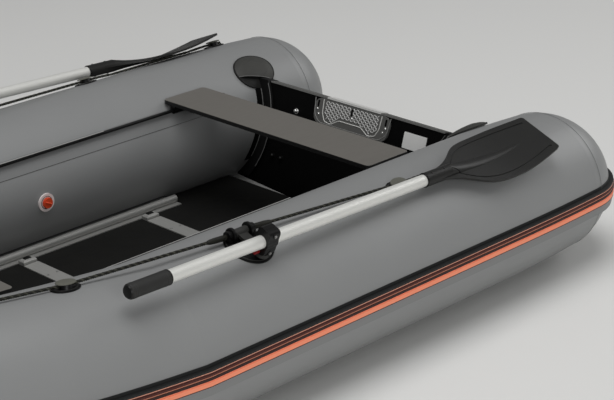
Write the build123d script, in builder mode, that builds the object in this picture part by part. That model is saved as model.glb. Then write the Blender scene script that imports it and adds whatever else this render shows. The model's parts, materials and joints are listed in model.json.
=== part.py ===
"""Inflatable motor boat with rigid floor, two benches and two stowed oars.

Millimetres: X forward, Y to port, Z up.
"""

import os
from math import atan2, cos, degrees, radians, sin, sqrt

from build123d import *

os.makedirs("parts", exist_ok=True)

# ---- main sizes -------------------------------------------------------------------------------
boat_length = 3300  # over the rubbing strake
tube_r = 210  # buoyancy tube radius, inflated
tube_y = 564  # tube centre line from the middle line
seat_gap = 0.3  # glue line between a glued-on part and the curved fabric
run_gap = 1.0  # free play beside a moving part

# stern cones
cone_start = -1120  # where the tube starts to narrow
nose_drop = 9  # the cone's round end has a radius this much smaller than the tube's

# bow
bend_x = 30  # the side tubes start to rise and close in here
rise_deg = 4.5  # rise of the bow part
rise_run = 20  # straight rising run before the bow starts to turn
bow_angles = (15, 45, 90)  # turn at the end of each bow arc, degrees
bow_r = 310  # centre line radius of the last arc

# rubbing strake, measured from the tube's centre height
strake_t = 14
strake_low = -40
strake_high = 25
stripe_t = 1.5  # coloured bands stand proud of the strake
stripe_low = -20
stripe_high = -3
pinstripes = (6, 14)  # heights of the two fine coloured lines
pinstripe_w = 3

# transom
transom_top = 351
transom_x = -1280  # front face at the top edge
transom_lean = 17  # degrees, top leans aft
transom_t = 25
transom_foot = 24
cap_t = 3  # grey profile over the top edge
cap_leg = 2
holder_depth = 37  # the channel that holds the board's end stands this far off the tube

# floor
floor_top = 68
panel_t = 12
floor_gap = 0.4  # free space between the floor's edge profiles and the tubes
bar_x = (-729, -274, 181, 636)  # crossbar centres
bar_w = 50
bar_h = 3  # crossbar flanges over and under the panels
floor_aft = -1130
floor_front = 900

# benches
bench_lift = 31  # top of the boards above the middle of the rails' beads
bench_t = 12
bench_w = 165
bench_gap = 3  # free space between a board's end and the tube
front_bench_cut = 26  # the tubes close in forward, so this board is shorter at each end
aft_bench_x = -968
front_bench_x = 366
rail_angle = 142.8  # round the tube from outboard, degrees
rail_stand = 13.4  # middle of the bead above the fabric
rail_r = 5

# oar and rowlock
lock_x = -242
lock_angle = 61.4  # middle of the rowlock round the tube, degrees
lock_lift = 53.1  # and above the fabric
lock_lean = 22  # swivel pin leans outboard, degrees
hinge_angle = 81.4
hinge_lift = 16.6
oar_fall = 0.028  # shaft falls this much per unit going aft
oar_close = 0.02  # and closes in on the boat this much
shaft_r = 16
grip_end = 431
grip_start = 315
blade_neck = -570
blade_end = -1052
blade_w = 174
blade_tip_w = 140
blade_t = 6
blade_dip = 10  # the blade is a spoon: its belly lies this far under the shaft's line
blade_toe = 18  # and its tip stands this far over it

# life line
rope_r = 4
rope_lift = 8  # rope centre above the fabric


# ---- derived places ---------------------------------------------------------------------------
tube_z = tube_r
nose_r = tube_r - nose_drop
tube_stern = -boat_length / 2 + strake_t
cone_len = cone_start - tube_stern
sphere_d = cone_len - nose_r
cone_r = (sphere_d**2 + tube_r**2 - nose_r**2) / (2 * (tube_r - nose_r))
cone_turn = degrees(atan2(sphere_d, cone_r - tube_r))
bow_centre_x = boat_length / 2 - strake_t - tube_r
rise = radians(rise_deg)
bow_reach = (bow_centre_x - bend_x) / cos(rise) - rise_run

# three tangent arcs that turn the centre line square to the middle line at the bow
turn = [radians(a) for a in bow_angles]
a11 = 1 - cos(turn[0])
a12 = cos(turn[0]) - cos(turn[1])
b1 = tube_y - bow_r * (cos(turn[1]) - cos(turn[2]))
a21 = sin(turn[0])
a22 = sin(turn[1]) - sin(turn[0])
b2 = bow_reach - bow_r * (sin(turn[2]) - sin(turn[1]))
det = a11 * a22 - a12 * a21
arc_radii = ((b1 * a22 - a12 * b2) / det, (a11 * b2 - b1 * a21) / det, bow_r)

bend = Vector(bend_x, tube_y, tube_z)
rising_way = Vector(cos(rise), 0, sin(rise))
up = Vector(-sin(rise), 0, cos(rise))
bow_plane = Plane(origin=bend + rising_way * rise_run, x_dir=rising_way, z_dir=up)
lean = radians(transom_lean)


def inner_at(height, extra=0.0):
    """Distance from the middle line to a side tube's inner face at a height above the ground."""
    return tube_y - sqrt((tube_r + extra) ** 2 - (height - tube_z) ** 2)


def round_tube(angle_deg, lift):
    """Distance to port and height of a point beside the straight port tube: 0 degrees outboard, 90 on top."""
    a = radians(angle_deg)
    return tube_y + (tube_r + lift) * cos(a), tube_z + (tube_r + lift) * sin(a)


stringer_t = 3
floor_half = inner_at(floor_top + stringer_t) - stringer_t - floor_gap
rail_reach = tube_r + rail_stand
rail_z = tube_z + rail_reach * sin(radians(rail_angle))
bench_top = rail_z + bench_lift
bench_half = inner_at(bench_top - bench_t) - bench_gap
front_bench_half = bench_half - front_bench_cut
cap_foot = transom_top - cap_leg - (transom_t + cap_t) * sin(lean)  # lowest corner of the cap, aft
cap_half = inner_at(cap_foot, holder_depth) - run_gap
lock_y, lock_z = round_tube(lock_angle, lock_lift)
hinge_y, hinge_z = round_tube(hinge_angle, hinge_lift)


def arc_start(i):
    """Local start point and centre of bow arc i in the bow plane."""
    x, y, angle = 0.0, 0.0, 0.0
    for k in range(i):
        x += arc_radii[k] * (sin(turn[k]) - sin(angle))
        y -= arc_radii[k] * (cos(angle) - cos(turn[k]))
        angle = turn[k]
    return (x, y), (x - arc_radii[i] * sin(angle), y - arc_radii[i] * cos(angle)), angle


def arc_at(turned):
    """Number of the bow arc that holds a turn, in degrees."""
    return sum(1 for a in bow_angles[:-1] if a <= turned)


def bow_section(turned, radius=0.0):
    """Cross-section plane of the bow tube after a turn in degrees: x outboard, y up."""
    i = arc_at(turned)
    angle = radians(turned)
    _, (cx, cy), _ = arc_start(i)
    reach = arc_radii[i] + radius
    outboard = bow_plane.from_local_coords(Vector(sin(angle), cos(angle), 0)) - bow_plane.origin
    origin = bow_plane.from_local_coords(Vector(cx + reach * sin(angle), cy + reach * cos(angle), 0))
    return Plane(origin=origin, x_dir=outboard, z_dir=outboard.cross(up))


def bow_axis(i):
    """Axis that bow arc i turns about, in the direction from side to stem."""
    _, (cx, cy), _ = arc_start(i)
    return Axis(bow_plane.from_local_coords(Vector(cx, cy, 0)), -up)


def bow_point(turned, height=0.0, outboard=0.0):
    """Point beside the bow centre line after the given turn in degrees."""
    angle = radians(turned)
    i = arc_at(turned)
    _, (cx, cy), _ = arc_start(i)
    reach = arc_radii[i] + outboard
    return bow_plane.from_local_coords(Vector(cx + reach * sin(angle), cy + reach * cos(angle), height))


def tube_face(x, angle_deg, radius):
    """Plane square to the port tube's skin, x forward."""
    a = radians(angle_deg)
    centre = Vector(x, tube_y, tube_z)
    outward = Vector(0, cos(a), sin(a))
    return Plane(origin=centre + outward * radius, x_dir=(1, 0, 0), z_dir=outward)


def cone_r_at(x):
    """Radius of the stern cone at a station."""
    return tube_r - cone_r + sqrt(cone_r**2 - (cone_start - x) ** 2)


def cone_body(extra):
    """Half outline of the stern cone, turned about the tube's axis."""
    along = Plane(origin=(0, tube_y, tube_z), x_dir=(1, 0, 0), z_dir=(0, -1, 0))
    with BuildPart() as body:
        with BuildSketch(along):
            with BuildLine():
                a = CenterArc((cone_start, tube_r - cone_r), cone_r + extra, 90, cone_turn)
                b = CenterArc((cone_start - sphere_d, 0), nose_r + extra, 90 + cone_turn, 90 - cone_turn)
                Polyline(b @ 1, (cone_start, 0), (cone_start, tube_r + extra))
            make_face()
        revolve(axis=Axis((0, tube_y, tube_z), (1, 0, 0)))
    return body.part


def side_tube(extra=0.0):
    """Port side tube: stern cone, straight run, round bend and first bow arc."""
    with BuildPart() as body:
        add(cone_body(extra))
        with BuildSketch(Plane(origin=(cone_start, tube_y, tube_z), x_dir=(0, 1, 0), z_dir=(1, 0, 0))):
            Circle(tube_r + extra)
        extrude(amount=bend_x - cone_start)
        with Locations(bend):
            Sphere(tube_r + extra)
        with BuildSketch(bow_section(0)):
            Circle(tube_r + extra)
        extrude(amount=-rise_run)
        add(bow_sector(0, extra))
    return body.part


def bow_sector(i, extra=0.0):
    """One bow arc of the port tube as a ring sector."""
    before = (0, *bow_angles)[i]
    with BuildPart() as body:
        with BuildSketch(bow_section(before)):
            Circle(tube_r + extra)
        revolve(axis=bow_axis(i), revolution_arc=bow_angles[i] - before)
    return body.part


def bow_half(extra=0.0):
    with BuildPart() as body:
        add(bow_sector(1, extra))
        add(bow_sector(2, extra))
    return body.part


def save(part, name):
    part.label = name
    export_step(part, f"parts/{name}.step")


# ---- buoyancy tubes ---------------------------------------------------------------------------
with BuildPart() as main_tube_port:
    add(side_tube())
save(main_tube_port.part, "main_tube_port")

with BuildPart() as main_tube_starboard:
    mirror(main_tube_port.part, about=Plane.XZ)
save(main_tube_starboard.part, "main_tube_starboard")

with BuildPart() as bow_tube:
    add(bow_half())
    mirror(about=Plane.XZ)
save(bow_tube.part, "bow_tube")

# the whole skin with a glue line added, used to seat what is glued on
with BuildPart() as skin_cut:
    add(side_tube(seat_gap))
    add(bow_half(seat_gap))
    mirror(about=Plane.XZ)


# ---- rubbing strake ---------------------------------------------------------------------------
strake_wrap = 60  # the strake goes this far round behind the cone's tip
bend_lap = 20  # straight and rising lengths are cut to a mitre from this much over-length
mitre = Plane(origin=bend, x_dir=(0, 1, 0), z_dir=(cos(rise / 2), 0, sin(rise / 2)))
stern_section = Plane(origin=(cone_start, tube_y, tube_z), x_dir=(0, 1, 0), z_dir=(1, 0, 0))


def strake_band(low, high, inner, outer):
    """Band on the port tube's outer side from the stern cone to the stem, between two heights."""

    def profile(plane):
        with BuildSketch(plane) as band:
            Circle(tube_r + outer)
            Circle(tube_r + inner, mode=Mode.SUBTRACT)
            with Locations((tube_r, (low + high) / 2)):
                Rectangle(tube_r, high - low, mode=Mode.INTERSECT)
        return band.sketch

    with BuildPart() as straight:
        extrude(profile(stern_section), amount=bend_x + bend_lap - cone_start)
        split(bisect_by=mitre, keep=Keep.BOTTOM)
    with BuildPart() as rising:
        extrude(profile(bow_section(0)), amount=-rise_run - bend_lap)
        revolve(profile(bow_section(0)), axis=bow_axis(0), revolution_arc=bow_angles[0])
        split(bisect_by=mitre, keep=Keep.TOP)
    with BuildPart() as body:
        add(cone_body(outer))
        add(cone_body(inner), mode=Mode.SUBTRACT)
        with Locations((tube_stern, tube_y + tube_r, tube_z + (low + high) / 2)):
            Box(2 * (cone_start - tube_stern), 2 * (tube_r + strake_wrap), high - low, mode=Mode.INTERSECT)
        add(straight.part)
        add(rising.part)
        for i in (1, 2):
            before = bow_angles[i - 1]
            revolve(profile(bow_section(before)), axis=bow_axis(i), revolution_arc=bow_angles[i] - before)
    return body.part


with BuildPart() as rub_strake:
    add(strake_band(strake_low, strake_high, seat_gap, strake_t - stripe_t))
    mirror(about=Plane.XZ)
save(rub_strake.part, "rub_strake")

with BuildPart() as strake_stripes:
    add(strake_band(stripe_low, stripe_high, strake_t - stripe_t, strake_t))
    for height in pinstripes:
        half = pinstripe_w / 2
        add(strake_band(height - half, height + half, strake_t - stripe_t, strake_t))
    mirror(about=Plane.XZ)
save(strake_stripes.part, "strake_stripes")


# ---- bottom and keel --------------------------------------------------------------------------
skin_t = 3
guard_t = 2.5
keel_low = 3
keel_rise = (500, 880, 1150)  # stations where the keel line turns up
keel_heights = (3, 8, 60)
keel_tube_w = 100
keel_tube_h = 44
keel_lift = 0.3  # the keel tube's round underside clears the skin by this much in the middle
keel_inset = 60  # the keel tube starts this far forward of the bottom's aft edge
guard_w = 70
guard_inset = 20
join_in = 40  # the bottom joins the tube this far inboard of its centre
join_lap = 15


def bottom_section(x, keel, centre):
    """V section of the bottom skin at a station; centre is the tube's centre there."""
    drop = sqrt(tube_r**2 - join_in**2)
    half = centre.Y - join_in + join_lap
    edge = centre.Z - drop
    with BuildSketch(Plane(origin=(x, 0, 0), x_dir=(0, 1, 0), z_dir=(1, 0, 0))) as section:
        with BuildLine():
            under = Polyline((-half, edge), (0, keel), (half, edge))
            over = Polyline((-half, edge + skin_t), (0, keel + skin_t), (half, edge + skin_t))
            Line(under @ 0, over @ 0)
            Line(under @ 1, over @ 1)
        make_face()
    return section.sketch


def centre_at(x):
    """Tube centre at a station forward of the bend, found by halving the turn."""
    low, high = 0.0, 90.0
    for _ in range(40):
        mid = (low + high) / 2
        if bow_point(mid).X < x:
            low = mid
        else:
            high = mid
    return bow_point(low)


skin_aft = transom_x + 60
tube_centre = Vector(0, tube_y, tube_z)
stem_x = bow_centre_x - join_in
stem = Vector(stem_x, join_in + 40, bow_point(90).Z)
stem_keel = stem.Z - sqrt(tube_r**2 - join_in**2) - 12
with BuildPart() as bottom_skin:
    sections = [bottom_section(x, keel_low, tube_centre) for x in (skin_aft, bend_x)]
    sections += [bottom_section(x, keel, centre_at(x)) for x, keel in zip(keel_rise, keel_heights)]
    sections += [bottom_section(stem_x, stem_keel, stem)]
    loft([section.face() for section in sections], ruled=True)
    add(skin_cut.part, mode=Mode.SUBTRACT)
save(bottom_skin.part, "bottom_skin")

with BuildPart() as keel_tube:
    keel_z = keel_low + skin_t + keel_lift + keel_tube_h / 2
    with BuildSketch(Plane(origin=(skin_aft + keel_inset, 0, keel_z), x_dir=(0, 1, 0), z_dir=(1, 0, 0))):
        Ellipse(keel_tube_w / 2, keel_tube_h / 2)
    extrude(amount=keel_rise[0] - guard_inset - skin_aft - keel_inset)
save(keel_tube.part, "keel_tube")

with BuildPart() as keel_guard:
    with Locations(((skin_aft + keel_rise[0]) / 2, 0, keel_low - guard_t / 2)):
        Box(keel_rise[0] - skin_aft - 2 * guard_inset, guard_w, guard_t)
save(keel_guard.part, "keel_guard")


# ---- transom ----------------------------------------------------------------------------------
transom_plane = Plane(origin=(transom_x, 0, transom_top), x_dir=(0, 1, 0), z_dir=(cos(lean), 0, sin(lean)))
board_h = (transom_top - transom_foot) / cos(lean)
board_half = 440
board_v = 30  # the board's lower edge drops this much to the keel
plate_half = 156
plate_top = -cap_leg - run_gap
plate_low = -80
plate_t = 7
plate_corner = 28
plate_draft = 10  # the plate is this much narrower at its foot, each side
slot_in = 19
slot_l = 18
slot_w = 6
outer_half = 130
outer_low = -250
strip_half = 108
strip_t = 2
strip_leg = 4
label_x = 250
label_down = -53


def on_transom(x, y, z):
    """Place measured from the middle of the transom's top edge: to port, up the board, forward."""
    return transom_plane * Pos(x, y, z)


with BuildPart() as transom_board:
    with BuildSketch(transom_plane):
        with BuildLine():
            Polyline(
                (-board_half, 0),
                (board_half, 0),
                (board_half, -board_h + board_v),
                (0, -board_h),
                (-board_half, -board_h + board_v),
                close=True,
            )
        make_face()
    extrude(amount=-transom_t)
    add(skin_cut.part, mode=Mode.SUBTRACT)
save(transom_board.part, "transom_board")

with BuildPart() as transom_cap:
    with Locations(on_transom(0, (cap_t - cap_leg) / 2, -transom_t / 2)):
        Box(2 * cap_half, cap_t + cap_leg, transom_t + 2 * cap_t)
    with Locations(on_transom(0, -cap_leg, -transom_t / 2)):
        Box(2 * cap_half + 2, 2 * cap_leg, transom_t, mode=Mode.SUBTRACT)
save(transom_cap.part, "transom_cap")

with BuildPart() as transom_strip:
    cover = transom_t + 2 * cap_t
    with Locations(on_transom(0, cap_t + (strip_t - strip_leg) / 2, -transom_t / 2)):
        Box(2 * strip_half, strip_t + strip_leg, cover + 2 * strip_t)
    with Locations(on_transom(0, cap_t - strip_leg, -transom_t / 2)):
        Box(2 * strip_half + 2, 2 * strip_leg, cover, mode=Mode.SUBTRACT)
save(transom_strip.part, "transom_strip")

with BuildPart() as motor_plate_inner:
    with BuildSketch(transom_plane) as outline:
        with BuildLine():
            Polyline(
                (-plate_half, plate_top),
                (plate_half, plate_top),
                (plate_half - plate_draft, plate_low),
                (plate_draft - plate_half, plate_low),
                close=True,
            )
        make_face()
        fillet(outline.vertices().group_by(Axis.Z)[0], plate_corner)
        with Locations(*[(x, plate_top - slot_l) for x in (slot_in - plate_half, 0, plate_half - slot_in)]):
            SlotOverall(slot_l, slot_w, rotation=90, mode=Mode.SUBTRACT)
    extrude(amount=plate_t)
save(motor_plate_inner.part, "motor_plate_inner")

with BuildPart() as motor_plate_outer:
    with BuildSketch(transom_plane.offset(-transom_t)) as outline:
        with Locations((0, (plate_top + outer_low) / 2)):
            RectangleRounded(2 * outer_half, plate_top - outer_low, 14)
    extrude(amount=-plate_t)
save(motor_plate_outer.part, "motor_plate_outer")

with BuildPart() as label_plate:
    with BuildSketch(transom_plane):
        with Locations((label_x, label_down)):
            RectangleRounded(86, 48, 3)
    extrude(amount=1.2)
save(label_plate.part, "label_plate")

# moulded holders: a channel up each tube takes the board's end, under a domed hood on an oval foot
holder_wall = 8
holder_t = 4
holder_low = 60
holder_over = 4  # the channel stands this much over the board's top edge
foot_x = transom_x + 5
foot_angle = 130
foot_l = 150
foot_w = 124
hood_h = 13
hood_l = 92
hood_w = 62
hood_fillet = 5
lip_drop = 31  # the hood's lip crosses the foot this far below its middle
lip_slope = 0.34
mouth_l = 64
mouth_depth = 15
mouth_roof = 6

tube_axis = Location((0, tube_y, tube_z), (0, 90, 0))


def skin_pad(outline, thickness):
    """Pad of even thickness glued on the straight port tube, cut from an outline held above the skin."""
    with BuildPart() as pad:
        extrude(outline, amount=-tube_r / 2)
        with Locations(tube_axis):
            Cylinder(tube_r + thickness, boat_length, mode=Mode.INTERSECT)
        with Locations(tube_axis):
            Cylinder(tube_r + seat_gap, boat_length, mode=Mode.SUBTRACT)
    return pad.part


foot_plane = tube_face(foot_x, foot_angle, tube_r)
with BuildSketch(foot_plane.offset(30)) as foot_outline:
    Ellipse(foot_l / 2, foot_w / 2)
with BuildPart() as hood:
    with BuildSketch(foot_plane.offset(-hood_h)):
        Ellipse(foot_l / 2, foot_w / 2)
    with BuildSketch(foot_plane.offset(hood_h)):
        Ellipse(hood_l / 2, hood_w / 2)
    loft()
    fillet(hood.faces().sort_by(Axis(foot_plane.origin, foot_plane.z_dir))[-1].edges(), hood_fillet)
    with BuildSketch(foot_plane.offset(-2 * hood_h)):
        with BuildLine():
            lip = Line((-foot_l, -lip_drop - lip_slope * foot_l), (foot_l, -lip_drop + lip_slope * foot_l))
            Polyline(lip @ 1, (foot_l, -2 * foot_l), (-foot_l, -2 * foot_l), lip @ 0)
        make_face()
    extrude(amount=4 * hood_h, mode=Mode.SUBTRACT)
    with Locations(foot_plane * Pos(mouth_l / 3, mouth_depth - lip_drop, hood_h / 2 - mouth_roof)):
        Box(mouth_l, 2 * mouth_depth, hood_h, mode=Mode.SUBTRACT)
with BuildPart() as holder_channel:
    with Locations(on_transom(0, (holder_over - board_h) / 2, -transom_t / 2)):
        Box(2 * board_half, board_h + holder_over, transom_t + 2 * holder_wall)
    with Locations(tube_axis):
        Cylinder(tube_r + holder_depth, boat_length, mode=Mode.INTERSECT)
    with Locations((transom_x, tube_y - tube_r, (holder_low + transom_top + holder_over) / 2)):
        Box(2 * board_half, 2 * tube_r - 80, transom_top + holder_over - holder_low, mode=Mode.INTERSECT)

with BuildPart() as transom_holders:
    add(hood.part)
    add(holder_channel.part)
    with Locations(tube_axis):
        Cylinder(tube_r + seat_gap, boat_length, mode=Mode.SUBTRACT)
    add(skin_pad(foot_outline.sketch, holder_t))
    with Locations(on_transom(0, -board_h / 2, -transom_t / 2)):
        Box(2 * board_half + 2, board_h, transom_t, mode=Mode.SUBTRACT)
    mirror(about=Plane.XZ)
save(transom_holders.part, "transom_holders")


# ---- floor ------------------------------------------------------------------------------------
web_t = 6
panel_gap = 0.5
bow_half_w = 240  # half width of the front panel's fore edge
flange_w = 77  # the edge profile's upper flange reaches this far in over the panels
under_w = 52
stringer_aft = -864
stringer_front = bar_x[-1] - bar_w / 2 - run_gap
stringer_in = floor_half - flange_w
bar_half = stringer_in - 28
ridge_y = floor_half - 48
ridge_r = 12
block_w = 26
block_l = 46
block_h = 14
panel_low = floor_top - panel_t

with BuildPart() as floor_panels:
    edges = [floor_aft, *bar_x, floor_front]
    for i, (start, end) in enumerate(zip(edges, edges[1:])):
        x0 = start if i == 0 else start + web_t / 2 + panel_gap
        x1 = end if end == floor_front else end - web_t / 2 - panel_gap
        fore_half = bow_half_w if end == floor_front else floor_half
        with BuildSketch(Plane.XY.offset(panel_low)):
            with BuildLine():
                Polyline((x0, -floor_half), (x1, -fore_half), (x1, fore_half), (x0, floor_half), close=True)
            make_face()
        extrude(amount=panel_t)
save(floor_panels.part, "floor_panels")

with BuildPart() as floor_crossbars:
    for x in bar_x:
        with Locations((x, 0, floor_top + bar_h / 2), (x, 0, panel_low - bar_h / 2)):
            Box(bar_w, 2 * bar_half, bar_h)
        with Locations((x, 0, floor_top - panel_t / 2)):
            Box(web_t, 2 * bar_half, panel_t)
save(floor_crossbars.part, "floor_crossbars")

with BuildPart() as floor_stringers:
    with BuildSketch(Plane(origin=(stringer_aft, 0, 0), x_dir=(0, 1, 0), z_dir=(1, 0, 0))):
        outer = floor_half + stringer_t
        with Locations(((stringer_in + outer) / 2, floor_top + stringer_t / 2)):
            Rectangle(outer - stringer_in, stringer_t)
        with Locations((outer - under_w / 2, panel_low - stringer_t / 2)):
            Rectangle(under_w, stringer_t)
        with Locations((floor_half + stringer_t / 2, floor_top - panel_t / 2)):
            Rectangle(stringer_t, panel_t + 2 * stringer_t)
        with Locations((ridge_y, floor_top + ridge_r)):
            Circle(ridge_r)
    extrude(amount=stringer_front - stringer_aft)
    mirror(about=Plane.XZ)
save(floor_stringers.part, "floor_stringers")

with BuildPart() as stringer_blocks:
    for x in bar_x[:-1]:
        with Locations((x, stringer_in - block_w / 2 - seat_gap, floor_top + block_h / 2)):
            Box(block_l, block_w, block_h)
    chamfer(stringer_blocks.edges().group_by(Axis.Z)[-1], 4)
    mirror(about=Plane.XZ)
save(stringer_blocks.part, "stringer_blocks")


# ---- bench rails on the tubes -----------------------------------------------------------------
tape_t = 1.2
tape_w = 52
flange_t = 3
aft_rail = (-1105, 20)
front_rail_turn = (1.5, 9.0)  # degrees along the first bow arc
rail_skin = tube_r + seat_gap


def rail_profile(plane):
    """Glued tape, standing flange and round bead in a section of the tube; x outboard, y up."""
    with BuildSketch(plane) as section:
        Circle(rail_skin + tape_t)
        Circle(rail_skin, mode=Mode.SUBTRACT)
        with PolarLocations(tube_r, 1, rail_angle + 4):
            Rectangle(60, tape_w, mode=Mode.INTERSECT)
        with PolarLocations((rail_skin + rail_reach) / 2, 1, rail_angle):
            Rectangle(rail_reach - rail_skin, flange_t)
        with PolarLocations(rail_reach, 1, rail_angle):
            Circle(rail_r)
    return section.sketch


def shifted(plane, x):
    return Plane(origin=plane.origin + Vector(x, 0, 0), x_dir=plane.x_dir, z_dir=plane.z_dir)


with BuildPart() as seat_rails:
    extrude(rail_profile(shifted(stern_section, aft_rail[0] - cone_start)), amount=aft_rail[1] - aft_rail[0])
    start, end = front_rail_turn
    revolve(rail_profile(bow_section(start)), axis=bow_axis(0), revolution_arc=end - start)
    mirror(about=Plane.XZ)
save(seat_rails.part, "seat_rails")


# ---- benches ----------------------------------------------------------------------------------
corner_r = 14
track_r = 10.5
track_play = 0.6
track_l = bench_w - 24


def plank(half):
    """Bench board with its top face at the origin."""
    with BuildPart() as board:
        with BuildSketch(Plane.XY.offset(-bench_t)):
            RectangleRounded(bench_w, 2 * half, corner_r)
        extrude(amount=bench_t)
        fillet(board.edges().group_by(Axis.Z)[-1], 2)
    return board.part


def track_profile(plane):
    """Slotted track that slides on the rail's bead and carries the board."""
    bead = Vector(rail_reach, 0).rotate(Axis.Z, rail_angle)
    under = bench_top - bench_t - tube_z
    with BuildSketch(plane) as section:
        with Locations(bead):
            Circle(track_r)
        with Locations((bead.X, (bead.Y + under) / 2)):
            Rectangle(track_r * 1.6, under - bead.Y)
        with Locations(bead):
            Circle(rail_r + track_play, mode=Mode.SUBTRACT)
        with PolarLocations(rail_reach - track_r, 1, rail_angle):
            Rectangle(2 * track_r, flange_t + 2 * track_play, mode=Mode.SUBTRACT)
    return section.sketch


aft_bench_plane = Plane(origin=(aft_bench_x, 0, bench_top))
front_reach = (front_bench_x - bend_x) / cos(rise) - rise_run
front_bench_plane = Plane(
    origin=bow_plane.from_local_coords(Vector(front_reach, -tube_y, bench_top - tube_z)),
    x_dir=bow_plane.x_dir,
    z_dir=up,
)

with BuildPart() as aft_bench_board:
    with Locations(aft_bench_plane.location):
        add(plank(bench_half))
save(aft_bench_board.part, "aft_bench_board")

with BuildPart() as aft_bench_tracks:
    extrude(track_profile(shifted(stern_section, aft_bench_x - track_l / 2 - cone_start)), amount=track_l)
    mirror(about=Plane.XZ)
save(aft_bench_tracks.part, "aft_bench_tracks")

with BuildPart() as front_bench_board:
    with Locations(front_bench_plane.location):
        add(plank(front_bench_half))
save(front_bench_board.part, "front_bench_board")

with BuildPart() as front_bench_tracks:
    half_turn = degrees(track_l / 2 / arc_radii[0])
    middle = degrees(front_reach / arc_radii[0])
    revolve(track_profile(bow_section(middle - half_turn)), axis=bow_axis(0), revolution_arc=2 * half_turn)
    mirror(about=Plane.XZ)
save(front_bench_tracks.part, "front_bench_tracks")


# ---- rowlocks ---------------------------------------------------------------------------------
ear_r = 13
ear_in = 22  # ears stand this far either side of the rowlock's middle
ear_t = 20
bush_r = 7
bush_bore = 4.8
foot_r = 62
foot_t = 4
lock_foot_angle = 72
barrel_r = 11.5
arm_w = 28
arm_top = -36
arm_low = -45
boss_r = 17
boss_top = -34.5
stem_r = 6
collar_w = 36
collar_half = 20
collar_low = -33
collar_high = 35
split_gap = 0.6
pin_play = 0.4

forward = Vector(1, oar_close, oar_fall).normalized()
tilt = Vector(0, sin(radians(lock_lean)), cos(radians(lock_lean)))
swivel = (tilt - forward * tilt.dot(forward)).normalized()
lock_plane = Plane(origin=(lock_x, lock_y, lock_z), x_dir=forward, z_dir=swivel)
hinge = lock_plane.to_local_coords(Vector(lock_x, hinge_y, hinge_z))


def along_hinge(x):
    """Plane square to the fore-and-aft hinge pin."""
    return Plane(origin=(x, hinge_y, hinge_z), x_dir=(0, 1, 0), z_dir=(1, 0, 0))


with BuildSketch(tube_face(lock_x, lock_foot_angle, tube_r + 30)) as lock_foot:
    Circle(foot_r)
with BuildPart() as rowlock_bases:
    for side in (-1, 1):
        near = ear_in if side > 0 else -ear_in - ear_t
        with BuildSketch(along_hinge(lock_x + near)):
            Circle(ear_r)
            with Locations((0, -ear_r - 3)):
                Rectangle(2 * ear_r - 4, 2 * ear_r + 6)
        extrude(amount=ear_t)
    with Locations(tube_axis):
        Cylinder(tube_r + seat_gap, boat_length, mode=Mode.SUBTRACT)
    add(skin_pad(lock_foot.sketch, foot_t))
    with BuildSketch(along_hinge(lock_x - 100)):
        Circle(bush_r)
    extrude(amount=200, mode=Mode.SUBTRACT)
    mirror(about=Plane.XZ)
save(rowlock_bases.part, "rowlock_bases")

with BuildPart() as rowlock_bushes:
    with BuildSketch(along_hinge(lock_x - ear_in - ear_t - 2)):
        Circle(bush_r)
        Circle(bush_bore, mode=Mode.SUBTRACT)
    extrude(amount=2 * (ear_in + ear_t + 2))
    mirror(about=Plane.XZ)
save(rowlock_bushes.part, "rowlock_bushes")

with BuildPart() as rowlock_rocker_port:
    with BuildSketch(along_hinge(lock_x - ear_in + run_gap)):
        Circle(barrel_r)
    extrude(amount=2 * (ear_in - run_gap))
    with BuildSketch(lock_plane.offset(arm_low)):
        with Locations((hinge.X, hinge.Y / 2)):
            Rectangle(arm_w, -hinge.Y)
    extrude(amount=arm_top - arm_low)
    with BuildSketch(lock_plane.offset(arm_low)):
        Circle(boss_r)
    extrude(amount=boss_top - arm_low)
    with BuildSketch(lock_plane.offset(arm_low - 10)):
        Circle(stem_r + pin_play)
    extrude(amount=40, mode=Mode.SUBTRACT)
    with BuildSketch(along_hinge(lock_x - 100)):
        Circle(bush_r + pin_play)
    extrude(amount=200, mode=Mode.SUBTRACT)
save(rowlock_rocker_port.part, "rowlock_rocker_port")
with BuildPart() as rowlock_rocker_starboard:
    mirror(rowlock_rocker_port.part, about=Plane.XZ)
save(rowlock_rocker_starboard.part, "rowlock_rocker_starboard")

# two half collars round the shaft; the inner one carries the swivel stem
with BuildPart() as collar:
    aft_end = lock_plane.from_local_coords(Vector(-collar_w / 2, 0, 0))
    with BuildSketch(Plane(origin=aft_end, x_dir=lock_plane.y_dir, z_dir=forward)):
        Circle(collar_half + 2)
        with Locations((0, (collar_high + collar_low) / 2)):
            RectangleRounded(2 * collar_half, collar_high - collar_low, 11)
        Circle(shaft_r + seat_gap, mode=Mode.SUBTRACT)
    extrude(amount=collar_w)
with BuildPart() as rowlock_collar_port:
    add(collar.part)
    with Locations(lock_plane * Pos(0, 50 - split_gap / 2, 0)):
        Box(100, 100, 200, mode=Mode.SUBTRACT)
    with BuildSketch(lock_plane.offset(arm_low)):
        Circle(stem_r)
    extrude(amount=collar_low - arm_low)
save(rowlock_collar_port.part, "rowlock_collar_port")
with BuildPart() as rowlock_cap_port:
    add(collar.part)
    with Locations(lock_plane * Pos(0, split_gap / 2 - 50, 0)):
        Box(100, 100, 200, mode=Mode.SUBTRACT)
save(rowlock_cap_port.part, "rowlock_cap_port")
with BuildPart() as rowlock_latch_port:
    with Locations(lock_plane * Pos(collar_w / 2 + 9, 0, -26)):
        Box(18, 13, 8)
    fillet(rowlock_latch_port.edges(), 2)
save(rowlock_latch_port.part, "rowlock_latch_port")


# two screws clamp the outer half collar
screw_n = 25
screw_r = 4
with BuildPart() as rowlock_screws_port:
    for height in (-screw_n, screw_n):
        head = lock_plane.from_local_coords(Vector(0, collar_half, height))
        with BuildSketch(Plane(origin=head, x_dir=forward, z_dir=lock_plane.y_dir)):
            Circle(screw_r)
        extrude(amount=3.5)
save(rowlock_screws_port.part, "rowlock_screws_port")


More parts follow.
